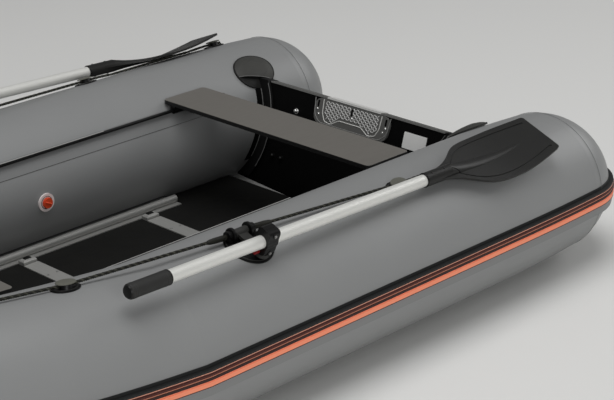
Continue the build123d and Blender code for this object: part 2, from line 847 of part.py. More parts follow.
# ---- oars -------------------------------------------------------------------------------------
grip_r = 18.5
socket_r = 19
socket_l = 95
groove_w = 5
groove_depth = 1.6
rim_w = 15  # the groove runs this far inside the blade's edge
tip_corner = 10
blade_l = blade_neck - blade_end
across = Plane(origin=lock_plane.origin, x_dir=lock_plane.y_dir, z_dir=forward)

with BuildPart() as oar_shaft_port:
    with BuildSketch(across.offset(blade_neck - 60)):
        Circle(shaft_r)
    extrude(amount=grip_end - 8 - blade_neck + 60)
save(oar_shaft_port.part, "oar_shaft_port")

with BuildPart() as oar_grip_port:
    with BuildSketch(across.offset(grip_start)):
        Circle(grip_r)
    extrude(amount=grip_end - grip_start)
    fillet(oar_grip_port.edges().sort_by(Axis.X)[-1], 6)
    add(oar_shaft_port.part, mode=Mode.SUBTRACT)
save(oar_grip_port.part, "oar_grip_port")

spoon_plane = Plane(origin=lock_plane.origin, x_dir=forward, z_dir=-lock_plane.y_dir)


def spoon_slab(low, high):
    """Curved slab that follows the blade's side view between two heights over its middle surface."""
    with BuildPart() as slab:
        with BuildSketch(spoon_plane):
            with BuildLine():
                curves = []
                for height in (low, high):
                    stations = [
                        (blade_neck + 60, height),
                        (blade_neck - 60, height),
                        (blade_neck - 0.3 * blade_l, height - 0.55 * blade_dip),
                        (blade_neck - 0.6 * blade_l, height - blade_dip),
                        (blade_neck - 0.83 * blade_l, height + 0.1 * blade_toe),
                        (blade_end - 5, height + blade_toe),
                    ]
                    curves.append(Spline(*stations))
                Line(curves[0] @ 0, curves[1] @ 0)
                Line(curves[0] @ 1, curves[1] @ 1)
            make_face()
        extrude(amount=blade_w, both=True)
    return slab.part


def blade_edge(inset, root):
    """Adds one side of the blade in plan, drawn in from the edge; root is where it leaves the shaft."""
    return Spline(
        (root, socket_r - 3 - inset / 2),
        (blade_neck - 0.29 * blade_l, 0.27 * blade_w - inset),
        (blade_neck - 0.4 * blade_l, 0.43 * blade_w - inset),
        (blade_neck - 0.58 * blade_l, blade_w / 2 - inset),
        (blade_end + inset, blade_tip_w / 2 - inset),
        tangents=[(-1, 0.05), (-1, -0.16)],
    )


# rounded spine that runs out of the socket along the middle of the blade
with BuildPart() as spine:
    for reach, drop, half, depth in (
        (socket_l, 0, socket_r, socket_r),
        (0.36 * blade_l, 0.65 * blade_dip, 0.9 * socket_r, 0.5 * socket_r),
        (0.58 * blade_l, blade_dip, 0.75 * socket_r, 0.32 * socket_r),
        (0.86 * blade_l, -0.2 * blade_toe, 0.2 * socket_r, 0.17 * socket_r),
    ):
        middle = lock_plane.from_local_coords(Vector(blade_neck - reach, 0, -drop))
        with BuildSketch(Plane(origin=middle, x_dir=lock_plane.y_dir, z_dir=forward)):
            Ellipse(half, depth)
    loft()

# shallow groove inside the blade's edge, on its upper face
with BuildPart() as rim_groove:
    with BuildSketch(lock_plane.offset(-blade_w)):
        with BuildLine():
            outside = blade_edge(rim_w, blade_neck - socket_l)
            inside = blade_edge(rim_w + groove_w, blade_neck - socket_l)
            Line(outside @ 0, inside @ 0)
            Line(outside @ 1, inside @ 1)
        make_face()
        mirror(about=Plane.XZ)
    extrude(amount=2 * blade_w)
    add(spoon_slab(blade_t / 2 - groove_depth, blade_t / 2 + socket_r), mode=Mode.INTERSECT)

with BuildPart() as oar_blade_port:
    with BuildSketch(lock_plane.offset(-blade_w)) as outline:
        with BuildLine():
            edge = blade_edge(0, blade_neck - 20)
            Polyline(edge @ 1, (blade_end, 0), (blade_neck - 20, 0), edge @ 0)
        make_face()
        mirror(about=Plane.XZ)
        fillet(outline.vertices().sort_by(Axis.X)[:2], tip_corner)
    extrude(amount=2 * blade_w)
    add(spoon_slab(-blade_t / 2, blade_t / 2), mode=Mode.INTERSECT)
    with BuildSketch(across.offset(blade_neck - socket_l)):
        Circle(socket_r)
    extrude(amount=socket_l)
    add(spine.part)
    add(rim_groove.part, mode=Mode.SUBTRACT)
    add(oar_shaft_port.part, mode=Mode.SUBTRACT)
save(oar_blade_port.part, "oar_blade_port")

for port_piece, name in (
    (rowlock_collar_port, "rowlock_collar_starboard"),
    (rowlock_cap_port, "rowlock_cap_starboard"),
    (rowlock_latch_port, "rowlock_latch_starboard"),
    (rowlock_screws_port, "rowlock_screws_starboard"),
    (oar_shaft_port, "oar_shaft_starboard"),
    (oar_grip_port, "oar_grip_starboard"),
    (oar_blade_port, "oar_blade_starboard"),
):
    with BuildPart() as starboard_piece:
        mirror(port_piece.part, about=Plane.XZ)
    save(starboard_piece.part, name)


# ---- life line and its holders ----------------------------------------------------------------
rope_play = 0.5
rope_tail = 30  # stands out aft of the aftmost holder
rope_bend_r = 40
rope_angle = 71.5  # round the tube, where the line runs aft of the rowlock
rope_low = 4.5  # the line lies on the fabric under the oar's blade
rope_flat = 45  # it runs level this far either side of a holder
rope_fall = 60  # and comes down over this length
stern_holder_x = -1290
side_holder_x = -763
bow_holder_turns = (3.6, 11, 24, 42, 66)
holder_pad_t = 3
holder_cap_r = 17
holder_cap_h = 15
holder_w = 46
holder_l = 78

stern_holder = tube_face(stern_holder_x, rope_angle, cone_r_at(stern_holder_x))
side_holder = tube_face(side_holder_x, rope_angle, tube_r)
bow_holders = []
for turned in bow_holder_turns:
    section = bow_section(turned)
    top = section.from_local_coords(Vector(0, tube_r, 0))
    bow_holders.append(Plane(origin=top, x_dir=-section.z_dir, z_dir=up))


def beside_cone(x, lift):
    """Point over the port tube's skin aft of the rowlock, on the life line's track."""
    skin = cone_r_at(x) if x < cone_start else tube_r
    return tube_face(x, rope_angle, skin + lift).origin


rope_points = [
    beside_cone(stern_holder_x - rope_tail, rope_lift),
    beside_cone(stern_holder_x + rope_flat, rope_lift),
    beside_cone(stern_holder_x + rope_flat + rope_fall, rope_low),
    beside_cone(side_holder_x - rope_flat - rope_fall, rope_low),
    beside_cone(side_holder_x - rope_flat, rope_lift),
    beside_cone(side_holder_x, rope_lift),
]
rope_points += [Vector(lock_x + side * (ear_in + ear_t + 6), hinge_y, hinge_z) for side in (-1, 1)]
rope_points += [plane.from_local_coords(Vector(0, 0, rope_lift)) for plane in bow_holders]
rope_points += [Vector(bow_point(90).X, 0, bow_point(90).Z + tube_r + rope_lift)]
port_points = list(rope_points)
rope_points += [Vector(p.X, -p.Y, p.Z) for p in reversed(port_points[:-1])]

with BuildPart() as life_line:
    with BuildLine():
        FilletPolyline(*rope_points, radius=rope_bend_r)
    with BuildSketch(Plane(origin=rope_points[0], z_dir=rope_points[1] - rope_points[0])):
        Circle(rope_r)
    sweep()
save(life_line.part, "life_line")

with BuildPart() as pad_shell:
    add(side_tube(holder_pad_t))
    add(bow_half(holder_pad_t))

with BuildPart() as rope_holders:
    for plane in (stern_holder, side_holder, *bow_holders):
        with BuildSketch(plane.offset(holder_cap_h)):
            Ellipse(holder_l / 2, holder_w / 2)
        extrude(amount=-3 * holder_cap_h)
    add(pad_shell.part, mode=Mode.INTERSECT)
    for plane in (stern_holder, side_holder, *bow_holders):
        with BuildSketch(plane.offset(1)):
            Circle(holder_cap_r)
        extrude(amount=holder_cap_h - 1, taper=12)
    add(skin_cut.part, mode=Mode.SUBTRACT)
    for a, b in zip(port_points, port_points[1:]):
        with BuildSketch(Plane(origin=a, z_dir=b - a)):
            Circle(rope_r + rope_play)
        extrude(amount=(b - a).length, mode=Mode.SUBTRACT)
        with Locations(b):
            Sphere(rope_r + rope_play, mode=Mode.SUBTRACT)
    mirror(about=Plane.XZ)
save(rope_holders.part, "rope_holders")


# ---- valves, handle and rings -----------------------------------------------------------------
valve_x = -380
valve_r = 27
valve_t = 5
valve_cap_r = 15
valve_cap_t = 9
bow_valve_seat = 4  # the bow tube is hollow-curved here, so its flange sits deeper
bow_valve_plane = Plane(
    origin=(bow_point(90).X - tube_r, 0, bow_point(90).Z), x_dir=(0, 1, 0), z_dir=(-1, 0, 0)
)

with BuildPart() as valve_flanges:
    with BuildSketch(tube_face(valve_x, 180, tube_r + seat_gap)):
        Circle(valve_r)
    extrude(amount=valve_t)
    mirror(about=Plane.XZ)
    with BuildSketch(bow_valve_plane):
        Circle(valve_r)
    extrude(amount=bow_valve_seat + valve_t)
    add(skin_cut.part, mode=Mode.SUBTRACT)
save(valve_flanges.part, "valve_flanges")

with BuildPart() as valve_caps:
    with BuildSketch(tube_face(valve_x, 180, tube_r + seat_gap + valve_t)):
        Circle(valve_cap_r)
    extrude(amount=valve_cap_t)
    mirror(about=Plane.XZ)
    with BuildSketch(bow_valve_plane.offset(bow_valve_seat + valve_t)):
        Circle(valve_cap_r)
    extrude(amount=valve_cap_t)
save(valve_caps.part, "valve_caps")

# carrying handle on top of the stem
handle_l = 210
handle_w = 34
handle_h = 34
handle_t = 7
handle_foot = 52
patch_r = 40
tow_wire = 4
ring_r = 20
ring_lift = 9  # ring wire above the tube's skin
ring_play = 1.6  # the straight eye leaves this round the curved wire
eye_half = 6


def crown_plane(angle_deg):
    """Plane square to the stem's skin: 0 degrees forward, 90 on top; x to port."""
    a = radians(angle_deg)
    centre = bow_point(90)
    normal = Vector(cos(a), 0, sin(a))
    return Plane(origin=centre + normal * tube_r, x_dir=(0, 1, 0), z_dir=normal)


with BuildPart() as bow_handle:
    grip_plane = crown_plane(48)
    with Locations(grip_plane.location):
        with Locations((-handle_l / 2 + handle_foot / 2, 0, 4), (handle_l / 2 - handle_foot / 2, 0, 4)):
            Box(handle_foot, handle_w, 30)
        with Locations((0, 0, handle_h - handle_t / 2)):
            Box(handle_l - handle_foot, handle_w - 6, handle_t)
        for side in (-1, 1):
            with Locations((side * (handle_l - handle_foot) / 2, 0, handle_h / 2 + 4)):
                Box(handle_t, handle_w - 6, handle_h - 8)
    add(skin_cut.part, mode=Mode.SUBTRACT)
save(bow_handle.part, "bow_handle")

# towing rings low on the bow, one each side
patch_section = bow_section(60)
patch_angle = radians(-38)
patch_on_skin = Vector(tube_r * cos(patch_angle), tube_r * sin(patch_angle), 0)
patch_origin = patch_section.from_local_coords(patch_on_skin)
patch_out = (patch_origin - patch_section.origin).normalized()
tow_plane = Plane(origin=patch_origin, x_dir=patch_section.z_dir, z_dir=patch_out)
ring_plane = tow_plane.offset(ring_lift)
with BuildPart() as tow_patches:
    with BuildSketch(tow_plane.offset(20)):
        Circle(patch_r)
    extrude(amount=-60)
    add(pad_shell.part, mode=Mode.INTERSECT)
    with BuildSketch(tow_plane.offset(1)):
        RectangleRounded(2 * eye_half, 18, 3)
    extrude(amount=ring_lift + tow_wire + ring_play)
    add(skin_cut.part, mode=Mode.SUBTRACT)
    eye_start = tow_plane.from_local_coords(Vector(-eye_half - 1, 0, ring_lift))
    with BuildSketch(Plane(origin=eye_start, z_dir=tow_plane.x_dir)):
        Circle(tow_wire / 2 + ring_play)
    extrude(amount=2 * eye_half + 2, mode=Mode.SUBTRACT)
    mirror(about=Plane.XZ)
save(tow_patches.part, "tow_patches")

hang = 1 if ring_plane.y_dir.Z < 0 else -1  # the ring lies down the hull from its eye
with BuildPart() as tow_rings:
    with Locations(ring_plane * Pos(0, hang * ring_r, 0)):
        Torus(ring_r, tow_wire / 2)
    mirror(about=Plane.XZ)
save(tow_rings.part, "tow_rings")


# ---- fittings on the transom ------------------------------------------------------------------
eye_y = 270
eye_down = -222
safety_y = -230
safety_down = -69
eye_wire = 5
eye_leg = 20
eye_gap = 18  # legs stand this far either side of the eye's middle
eye_seat_t = 3
aft_face = transom_plane.offset(-transom_t)
with BuildPart() as transom_eyes:
    for y, down in ((eye_y, eye_down), (-eye_y, eye_down), (safety_y, safety_down)):
        foot = aft_face.from_local_coords(Vector(y, down, 0))
        seat = Plane(origin=foot, x_dir=(0, 1, 0), z_dir=-aft_face.z_dir)
        with BuildSketch(seat):
            RectangleRounded(30, 64, 6)
        extrude(amount=eye_seat_t)
        for side in (-1, 1):
            with BuildSketch(seat * Pos(0, side * eye_gap, 0)):
                Circle(eye_wire)
            extrude(amount=eye_leg)
        crown = seat.offset(eye_leg)
        with BuildSketch(crown * Pos(0, eye_gap, 0)):
            Circle(eye_wire)
        revolve(axis=Axis(crown.origin, crown.x_dir), revolution_arc=180)
save(transom_eyes.part, "transom_eyes")
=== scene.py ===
"""Looks for the inflatable boat: every surface's finish, and the seams, rope, ribs and small hardware."""

import json
import math

import bmesh
import bpy
from mathutils import Matrix, Vector


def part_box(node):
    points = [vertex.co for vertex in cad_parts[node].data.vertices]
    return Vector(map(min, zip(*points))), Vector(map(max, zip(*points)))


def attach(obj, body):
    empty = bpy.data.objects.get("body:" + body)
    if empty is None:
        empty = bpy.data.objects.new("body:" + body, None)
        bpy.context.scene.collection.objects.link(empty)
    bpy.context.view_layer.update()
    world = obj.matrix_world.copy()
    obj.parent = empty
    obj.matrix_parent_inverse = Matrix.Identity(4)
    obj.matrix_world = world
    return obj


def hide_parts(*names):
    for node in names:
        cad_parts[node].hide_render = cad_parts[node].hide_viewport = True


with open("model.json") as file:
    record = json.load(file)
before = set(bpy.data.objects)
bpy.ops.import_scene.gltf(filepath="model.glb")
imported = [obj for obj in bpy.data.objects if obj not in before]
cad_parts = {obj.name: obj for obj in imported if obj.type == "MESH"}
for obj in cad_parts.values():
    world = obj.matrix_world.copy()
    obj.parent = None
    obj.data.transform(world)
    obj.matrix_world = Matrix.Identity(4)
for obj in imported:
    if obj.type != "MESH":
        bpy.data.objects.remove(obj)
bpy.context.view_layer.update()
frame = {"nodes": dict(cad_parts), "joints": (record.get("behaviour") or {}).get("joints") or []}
nodes = frame["nodes"]
joints = {joint["name"]: joint for joint in frame["joints"]}
scene = bpy.context.scene
MM = 0.001

# ---- places, in metres and in the boat's frame ------------------------------------------------
tube_low, tube_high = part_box("main_tube_port")
TUBE_R = 0.210  # side and bow tubes alike
TUBE_Y = tube_high[1] - TUBE_R
CONE_START = -1.120  # the stern cones taper aft of here
NOSE_R = 0.201  # radius of the stern cone's round end
NOSE_IN = CONE_START - tube_low[0] - NOSE_R  # from the cone's start to the middle of that end
CONE_R = (NOSE_IN**2 + TUBE_R**2 - NOSE_R**2) / (2 * (TUBE_R - NOSE_R))  # of the cone's long curve
RISE = math.radians(4.5)  # the bow part's rise
BEND_X = 0.030  # where it begins
RISE_RUN = 0.020  # straight part between the bend and the first bow arc
BOW_TURNS = [math.radians(a) for a in (15, 45, 90)]  # the centre line's turn at each bow arc's end
STEM_R = 0.310  # centre line radius of the last bow arc
STEM_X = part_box("bow_tube")[1][0] - TUBE_R
LEAN = math.radians(17)  # the transom's top leans aft
TRANSOM_TOP = Vector((-1.280, 0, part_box("transom_board")[1][2]))
RAIL_TURN = 142.8  # bench rails, round the tube from outboard
RAIL_LIFT = 13.4  # middle of their beads over the fabric, mm
ROPE_TURN = 71.5  # the life line, round the tube from outboard
MIRROR = Matrix.Scale(-1, 4, (0, 1, 0))
CORNER_STEPS = 5  # points that ease a corner
SHARP_EDGE = math.radians(38)  # edges bent by more than this stay sharp

to_bow = Vector((math.cos(RISE), 0, math.sin(RISE)))
bow_up = Vector((-math.sin(RISE), 0, math.cos(RISE)))


def bow_radii():
    """Centre line radii of the three tangent arcs that close the bow."""
    turn = BOW_TURNS
    across = (1 - math.cos(turn[0]), math.cos(turn[0]) - math.cos(turn[1]))
    ahead = (math.sin(turn[0]), math.sin(turn[1]) - math.sin(turn[0]))
    beam = TUBE_Y - STEM_R * (math.cos(turn[1]) - math.cos(turn[2]))
    reach = (STEM_X - BEND_X) / math.cos(RISE) - RISE_RUN - STEM_R * (math.sin(turn[2]) - math.sin(turn[1]))
    det = across[0] * ahead[1] - across[1] * ahead[0]
    first = (beam * ahead[1] - across[1] * reach) / det
    second = (across[0] * reach - beam * ahead[0]) / det
    return first, second, STEM_R


ARC_RADII = bow_radii()


def cone_r(x):
    """Radius of the side tube at a station aft of the bend."""
    if x > CONE_START:
        return TUBE_R
    return TUBE_R - CONE_R + math.sqrt(CONE_R**2 - (CONE_START - x) ** 2)


def on_tube(x, turn_deg, lift_mm=0.0):
    """Point beside the port tube: 0 degrees outboard, 90 on top, lifted off the fabric."""
    a = math.radians(turn_deg)
    reach = cone_r(x) + lift_mm * MM
    return Vector((x, TUBE_Y + reach * math.cos(a), TUBE_R + reach * math.sin(a)))


def on_bow(turned_deg, round_deg, lift_mm=0.0):
    """Point beside the bow tube after a turn of its centre line; 0 degrees outboard, 90 on top."""
    turned = math.radians(turned_deg)
    x, y, angle = 0.0, 0.0, 0.0
    for radius, end in zip(ARC_RADII, BOW_TURNS):
        stop = min(turned, end)
        x += radius * (math.sin(stop) - math.sin(angle))
        y -= radius * (math.cos(angle) - math.cos(stop))
        angle = stop
    a = math.radians(round_deg)
    reach = TUBE_R + lift_mm * MM
    outboard = to_bow * math.sin(turned) + Vector((0, math.cos(turned), 0))
    centre = Vector((BEND_X, TUBE_Y + y, TUBE_R)) + to_bow * (RISE_RUN + x)
    return centre + outboard * reach * math.cos(a) + bow_up * reach * math.sin(a)


def axes(origin, x_way, z_way):
    """Placing matrix from an origin, a forward way and an outward way."""
    z = Vector(z_way).normalized()
    x = Vector(x_way)
    x = (x - z * x.dot(z)).normalized()
    return Matrix.Translation(origin) @ Matrix((x, z.cross(x), z)).transposed().to_4x4()


board = axes(TRANSOM_TOP, (0, 1, 0), (math.cos(LEAN), 0, math.sin(LEAN)))


def on_board(across, up, out):
    """Point on the transom, in millimetres to port, up from its top edge and forward of its face."""
    return board @ Vector((across * MM, up * MM, out * MM))


hinge = Vector(joints["rowlock_port_rock"]["pos_m"])
swivel = joints["rowlock_port_swivel"]
lock = axes(swivel["pos_m"], (1, 0.02, 0.028), -Vector(swivel["axis"]))  # the stowed oar's way
oar_line = axes(lock @ Vector(), lock.to_3x3() @ Vector((0, 1, 0)), lock.to_3x3() @ Vector((1, 0, 0)))


# ---- shapes -----------------------------------------------------------------------------------
def eased(points, reach_mm, step_mm=None):
    """Points along straight runs with each corner eased over the given reach; step divides the runs."""
    path = [points[0]]
    reach = reach_mm * MM

    def run(end):
        start = path[-1]
        pieces = max(1, round((end - start).length / (step_mm * MM))) if step_mm else 1
        path.extend(start.lerp(end, i / pieces) for i in range(1, pieces + 1))

    for before, corner, after in zip(points, points[1:], points[2:]):
        into = corner + (before - corner).normalized() * reach
        away = corner + (after - corner).normalized() * reach
        run(into)
        for i in range(1, CORNER_STEPS + 1):
            t = i / CORNER_STEPS
            path.append(into.lerp(corner, t).lerp(corner.lerp(away, t), t))
    run(points[-1])
    return path


def moving_frames(path, closed=False):
    """Each point of a path with two directions square to it that don't twist along it."""
    side = None
    for i, here in enumerate(path):
        before = path[i - 1] if closed or i else here
        after = path[(i + 1) % len(path)] if closed or i + 1 < len(path) else here
        way = (after - before).normalized()
        side = way.orthogonal() if side is None else side - way * side.dot(way)
        side.normalize()
        yield here, side, way.cross(side)


class Shape:
    """One joined mesh, gathered from round bars, turned forms and thin layers."""

    def __init__(self):
        self.points = []
        self.faces = []

    def join(self, rings, sides, closed=False):
        """Faces between the last rings of points, with ends on an open run."""
        first = len(self.points) - rings * sides
        for i in range(rings if closed else rings - 1):
            a = first + i * sides
            b = first + (i + 1) % rings * sides
            for k in range(sides):
                n = (k + 1) % sides
                self.faces.append((a + k, a + n, b + n, b + k))
        if not closed:
            self.faces.append(tuple(range(first + sides - 1, first - 1, -1)))
            self.faces.append(tuple(range(first + (rings - 1) * sides, first + rings * sides)))

    def bar(self, path, radius_mm, sides=8, closed=False):
        """Round bar along a path; the radius is one value, or one for each point."""
        radii = radius_mm if isinstance(radius_mm, tuple) else (radius_mm,) * len(path)
        for (here, side, other), radius in zip(moving_frames(path, closed), radii):
            for k in range(sides):
                a = math.tau * k / sides
                self.points.append(here + (side * math.cos(a) + other * math.sin(a)) * radius * MM)
        self.join(len(path), sides, closed)

    def turned(self, place, profile, sides=24):
        """Form turned about the place's z axis from (radius, height) pairs in millimetres."""
        for radius, height in profile:
            for k in range(sides):
                a = math.tau * k / sides
                corner = Vector((radius * math.cos(a), radius * math.sin(a), height)) * MM
                self.points.append(place @ corner)
        self.join(len(profile), sides)

    def layer(self, outer, inner):
        """Thin closed layer between two grids of points of the same size."""
        rows, columns = len(outer), len(outer[0])
        first = len(self.points)
        for grid in (outer, inner):
            for row in grid:
                self.points.extend(row)
        below = first + rows * columns

        def at(base, i, j):
            return base + i * columns + j

        for i in range(rows - 1):
            for j in range(columns - 1):
                quad = ((i, j), (i + 1, j), (i + 1, j + 1), (i, j + 1))
                self.faces.append(tuple(at(first, *c) for c in quad))
                self.faces.append(tuple(at(below, *c) for c in reversed(quad)))
        rim = [(0, j) for j in range(columns - 1)] + [(i, columns - 1) for i in range(rows - 1)]
        rim += [(rows - 1, j) for j in range(columns - 1, 0, -1)] + [(i, 0) for i in range(rows - 1, 0, -1)]
        for a, b in zip(rim, rim[1:] + rim[:1]):
            self.faces.append((at(first, *a), at(first, *b), at(below, *b), at(below, *a)))

    def both_sides(self):
        """Adds the mirror image on the other side of the boat."""
        count = len(self.points)
        self.points += [MIRROR @ point for point in self.points]
        self.faces += [tuple(i + count for i in reversed(face)) for face in self.faces]
        return self

    def piece(self, name, body, material, mirrored=False):
        """The mesh as a piece on a body, smooth but for its sharp edges."""
        points = [MIRROR @ point for point in self.points] if mirrored else self.points
        mesh = bpy.data.meshes.new(name)
        mesh.from_pydata(points, [], self.faces)
        rework = bmesh.new()
        rework.from_mesh(mesh)
        bmesh.ops.recalc_face_normals(rework, faces=rework.faces)
        rework.to_mesh(mesh)
        rework.free()
        mesh.shade_smooth()
        mesh.set_sharp_from_angle(angle=SHARP_EDGE)
        mesh.materials.append(material)
        made = bpy.data.objects.new(name, mesh)
        scene.collection.objects.link(made)
        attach(made, body)
        return made


def hull_piece(shape, name, material):
    """A piece that is alike on both sides of the hull."""
    return shape.both_sides().piece(name, "hull", material)


def oar_piece(shape, name, material):
    """A piece on each oar, made for the port one."""
    for side in ("port", "starboard"):
        shape.piece(f"{name}_{side}", f"oar_{side}", material, mirrored=side == "starboard")


# ---- finishes ---------------------------------------------------------------------------------
COORDS = "ShaderNodeTexCoord"
MAPPING = "ShaderNodeMapping"
SPLIT = "ShaderNodeSeparateXYZ"
NOISE = "ShaderNodeTexNoise"
MATHS = "ShaderNodeMath"
MIX = "ShaderNodeMix"
BUMP = "ShaderNodeBump"
COLOUR, NORMAL = "Base Color", "Normal"  # the shader's sockets that a pattern feeds
MIXED = 2  # a colour mix's output
LINE_STRETCH = 160  # a drawn line is this many times longer than wide
WAVE_RUN = 20  # a wave texture's phase for one unit of length at scale 1
PER_MM = 0.01  # share of the strake's colour ramp for each mm of height
SKIRT_GREY = "#828383"  # the hull's grey on the strake's lowest part

# heights over the tube's middle in mm from which each colour of the strake runs up
STRAKE_BANDS = (
    (-16.6, "#3a1a16"),
    (-14.2, "#ff9673"),
    (-0.6, "#301512"),
    (7.8, "#d98c70"),
    (9.6, "#4a1f19"),
    (18.4, "#eaa68c"),
    (20.2, "#1b1c1c"),
)


def linear(code):
    """sRGB hex colour as linear RGBA."""
    values = [int(code[i:i + 2], 16) / 255 for i in (1, 3, 5)]
    return (*[v / 12.92 if v <= 0.04045 else ((v + 0.055) / 1.055) ** 2.4 for v in values], 1)


def put(tree, kind, inputs, out=0, to=None, **settings):
    """Adds a node with its settings and links, and gives an output; inputs are values or outputs."""
    made = tree.nodes.new(kind)
    for name, value in settings.items():
        setattr(made, name, value)
    for socket, value in inputs.items():
        if isinstance(value, bpy.types.NodeSocket):
            tree.links.new(value, made.inputs[socket])
        else:
            made.inputs[socket].default_value = value
    if to:
        tree.links.new(made.outputs[out], to)
    return made.outputs[out]


def finish(name, colour, roughness, metallic=0.0, ior=1.5, specular=0.5):
    """A new material with its shader; the caller adds pattern and relief."""
    material = bpy.data.materials.new(name)
    material.use_nodes = True
    tree = material.node_tree
    shader = tree.nodes["Principled BSDF"]
    shader.inputs[COLOUR].default_value = linear(colour)
    shader.inputs["Roughness"].default_value = roughness
    shader.inputs["Metallic"].default_value = metallic
    if not metallic:
        shader.inputs["IOR"].default_value = ior
        shader.inputs["Specular IOR Level"].default_value = specular
    return material, tree, shader.inputs


def pvc_fabric(name, dark, light, roughness):
    """PVC-coated polyester, calendered: an even soft gloss, faint cloth grain and slow swells."""
    material, tree, shader = finish(name, light, roughness, ior=1.52)
    where = put(tree, COORDS, {}, "Object")
    tone = put(tree, NOISE, {"Vector": where, "Scale": 1 / (240 * MM), "Detail": 3.0})
    ends = {0: tone, 6: linear(dark), 7: linear(light)}
    put(tree, MIX, ends, MIXED, shader[COLOUR], data_type="RGBA")
    # the real 1 mm weave is too fine to show, so it is drawn at 3 mm
    cloth = put(tree, NOISE, {"Vector": where, "Scale": 1 / (3 * MM), "Detail": 2.0})
    swell = put(tree, NOISE, {"Vector": where, "Scale": 1 / (260 * MM), "Detail": 1.0})
    deeper = put(tree, MATHS, {0: swell, 1: 40.0}, operation="MULTIPLY")
    height = put(tree, MATHS, {0: cloth, 1: deeper}, operation="ADD")
    put(tree, BUMP, {"Height": height, "Distance": 0.10 * MM}, to=shader[NORMAL])
    return material


def moulded(name, dark, light, roughness, grit_mm=0.9, depth_mm=0.06, specular=0.3):
    """Injection-moulded or extruded plastic: small tone changes and a fine spark-eroded grain."""
    material, tree, shader = finish(name, light, roughness, ior=1.46, specular=specular)
    where = put(tree, COORDS, {}, "Object")
    tone = put(tree, NOISE, {"Vector": where, "Scale": 1 / (30 * MM), "Detail": 3.0})
    ends = {0: tone, 6: linear(dark), 7: linear(light)}
    put(tree, MIX, ends, MIXED, shader[COLOUR], data_type="RGBA")
    grit = put(tree, NOISE, {"Vector": where, "Scale": 1 / (grit_mm * MM), "Detail": 2.0})
    put(tree, BUMP, {"Height": grit, "Distance": depth_mm * MM}, to=shader[NORMAL])
    return material


def drawn_metal(name, dark, light, roughness, along, metallic):
    """Drawn or brushed metal: long fine lines in its drawing direction, 0 along the boat or 1 across."""
    material, tree, shader = finish(name, light, roughness, metallic=metallic)
    stretch = [1, 1, 1]
    stretch[along] = 1 / LINE_STRETCH
    where = put(tree, MAPPING, {"Vector": put(tree, COORDS, {}, "Object"), "Scale": stretch})
    # real drawing lines are about 0.1 mm wide, too fine to show, so they are drawn at 2.5 mm
    lines = put(tree, NOISE, {"Vector": where, "Scale": 1 / (2.5 * MM), "Detail": 4.0})
    ends = {0: lines, 6: linear(dark), 7: linear(light)}
    put(tree, MIX, ends, MIXED, shader[COLOUR], data_type="RGBA")
    put(tree, BUMP, {"Height": lines, "Distance": 0.05 * MM}, to=shader[NORMAL])
    return material


def facing_up(tree, over):
    """1 where the surface faces up by more than the given cosine, else 0."""
    up = put(tree, SPLIT, {0: put(tree, COORDS, {}, "Normal")}, 2)
    return put(tree, MATHS, {0: up, 1: over}, operation="GREATER_THAN")


def stands_proud(tree, by_mm):
    """1 where a point stands off the straight side tubes' skin by more than the given height, else 0."""
    where = put(tree, COORDS, {}, "Object")
    beam = put(tree, MATHS, {0: put(tree, SPLIT, {0: where}, 1)}, operation="ABSOLUTE")
    side = put(tree, MATHS, {0: beam, 1: TUBE_Y}, operation="SUBTRACT")
    height = put(tree, MATHS, {0: put(tree, SPLIT, {0: where}, 2), 1: TUBE_R}, operation="SUBTRACT")
    squares = [put(tree, MATHS, {0: reach, 1: reach}, operation="MULTIPLY") for reach in (side, height)]
    total = put(tree, MATHS, dict(enumerate(squares)), operation="ADD")
    return put(tree, MATHS, {0: total, 1: (TUBE_R + by_mm * MM) ** 2}, operation="GREATER_THAN")


def bench_film():
    """Phenolic-filmed plywood: a brown-grey satin film with fine grain, and black sealed edges."""
    material, tree, shader = finish("filmed_plywood_brown", "#6a6762", 0.5, specular=0.4)
    where = put(tree, COORDS, {}, "Object")
    drawn_out = put(tree, MAPPING, {"Vector": where, "Scale": (0.15, 1, 1)})
    # wood grain 9 mm wide and 60 mm long
    wood = put(tree, NOISE, {"Vector": drawn_out, "Scale": 1 / (9 * MM), "Detail": 4.0})
    film = put(tree, MIX, {0: wood, 6: linear("#66635e"), 7: linear("#6e6b66")}, MIXED, data_type="RGBA")
    ends = {0: facing_up(tree, 0.8), 6: linear("#0b0b0b"), 7: film}
    put(tree, MIX, ends, MIXED, shader[COLOUR], data_type="RGBA")
    fine = put(tree, NOISE, {"Vector": where, "Scale": 1 / (2 * MM), "Detail": 2.0})
    put(tree, BUMP, {"Height": fine, "Distance": 0.08 * MM}, to=shader[NORMAL])
    return material


def edge_profile():
    """Extruded edge profile: matt light grey sides, and a darker top."""
    material, tree, shader = finish("extruded_edge_profile", "#6c6c6a", 0.7, specular=0.1)
    ends = {0: facing_up(tree, 0.7), 6: linear("#747472"), 7: linear("#5e5e5c")}
    put(tree, MIX, ends, MIXED, shader[COLOUR], data_type="RGBA")
    where = put(tree, COORDS, {}, "Object")
    fine = put(tree, NOISE, {"Vector": where, "Scale": 1 / (1.5 * MM), "Detail": 2.0})
    put(tree, BUMP, {"Height": fine, "Distance": 0.05 * MM}, to=shader[NORMAL])
    return material


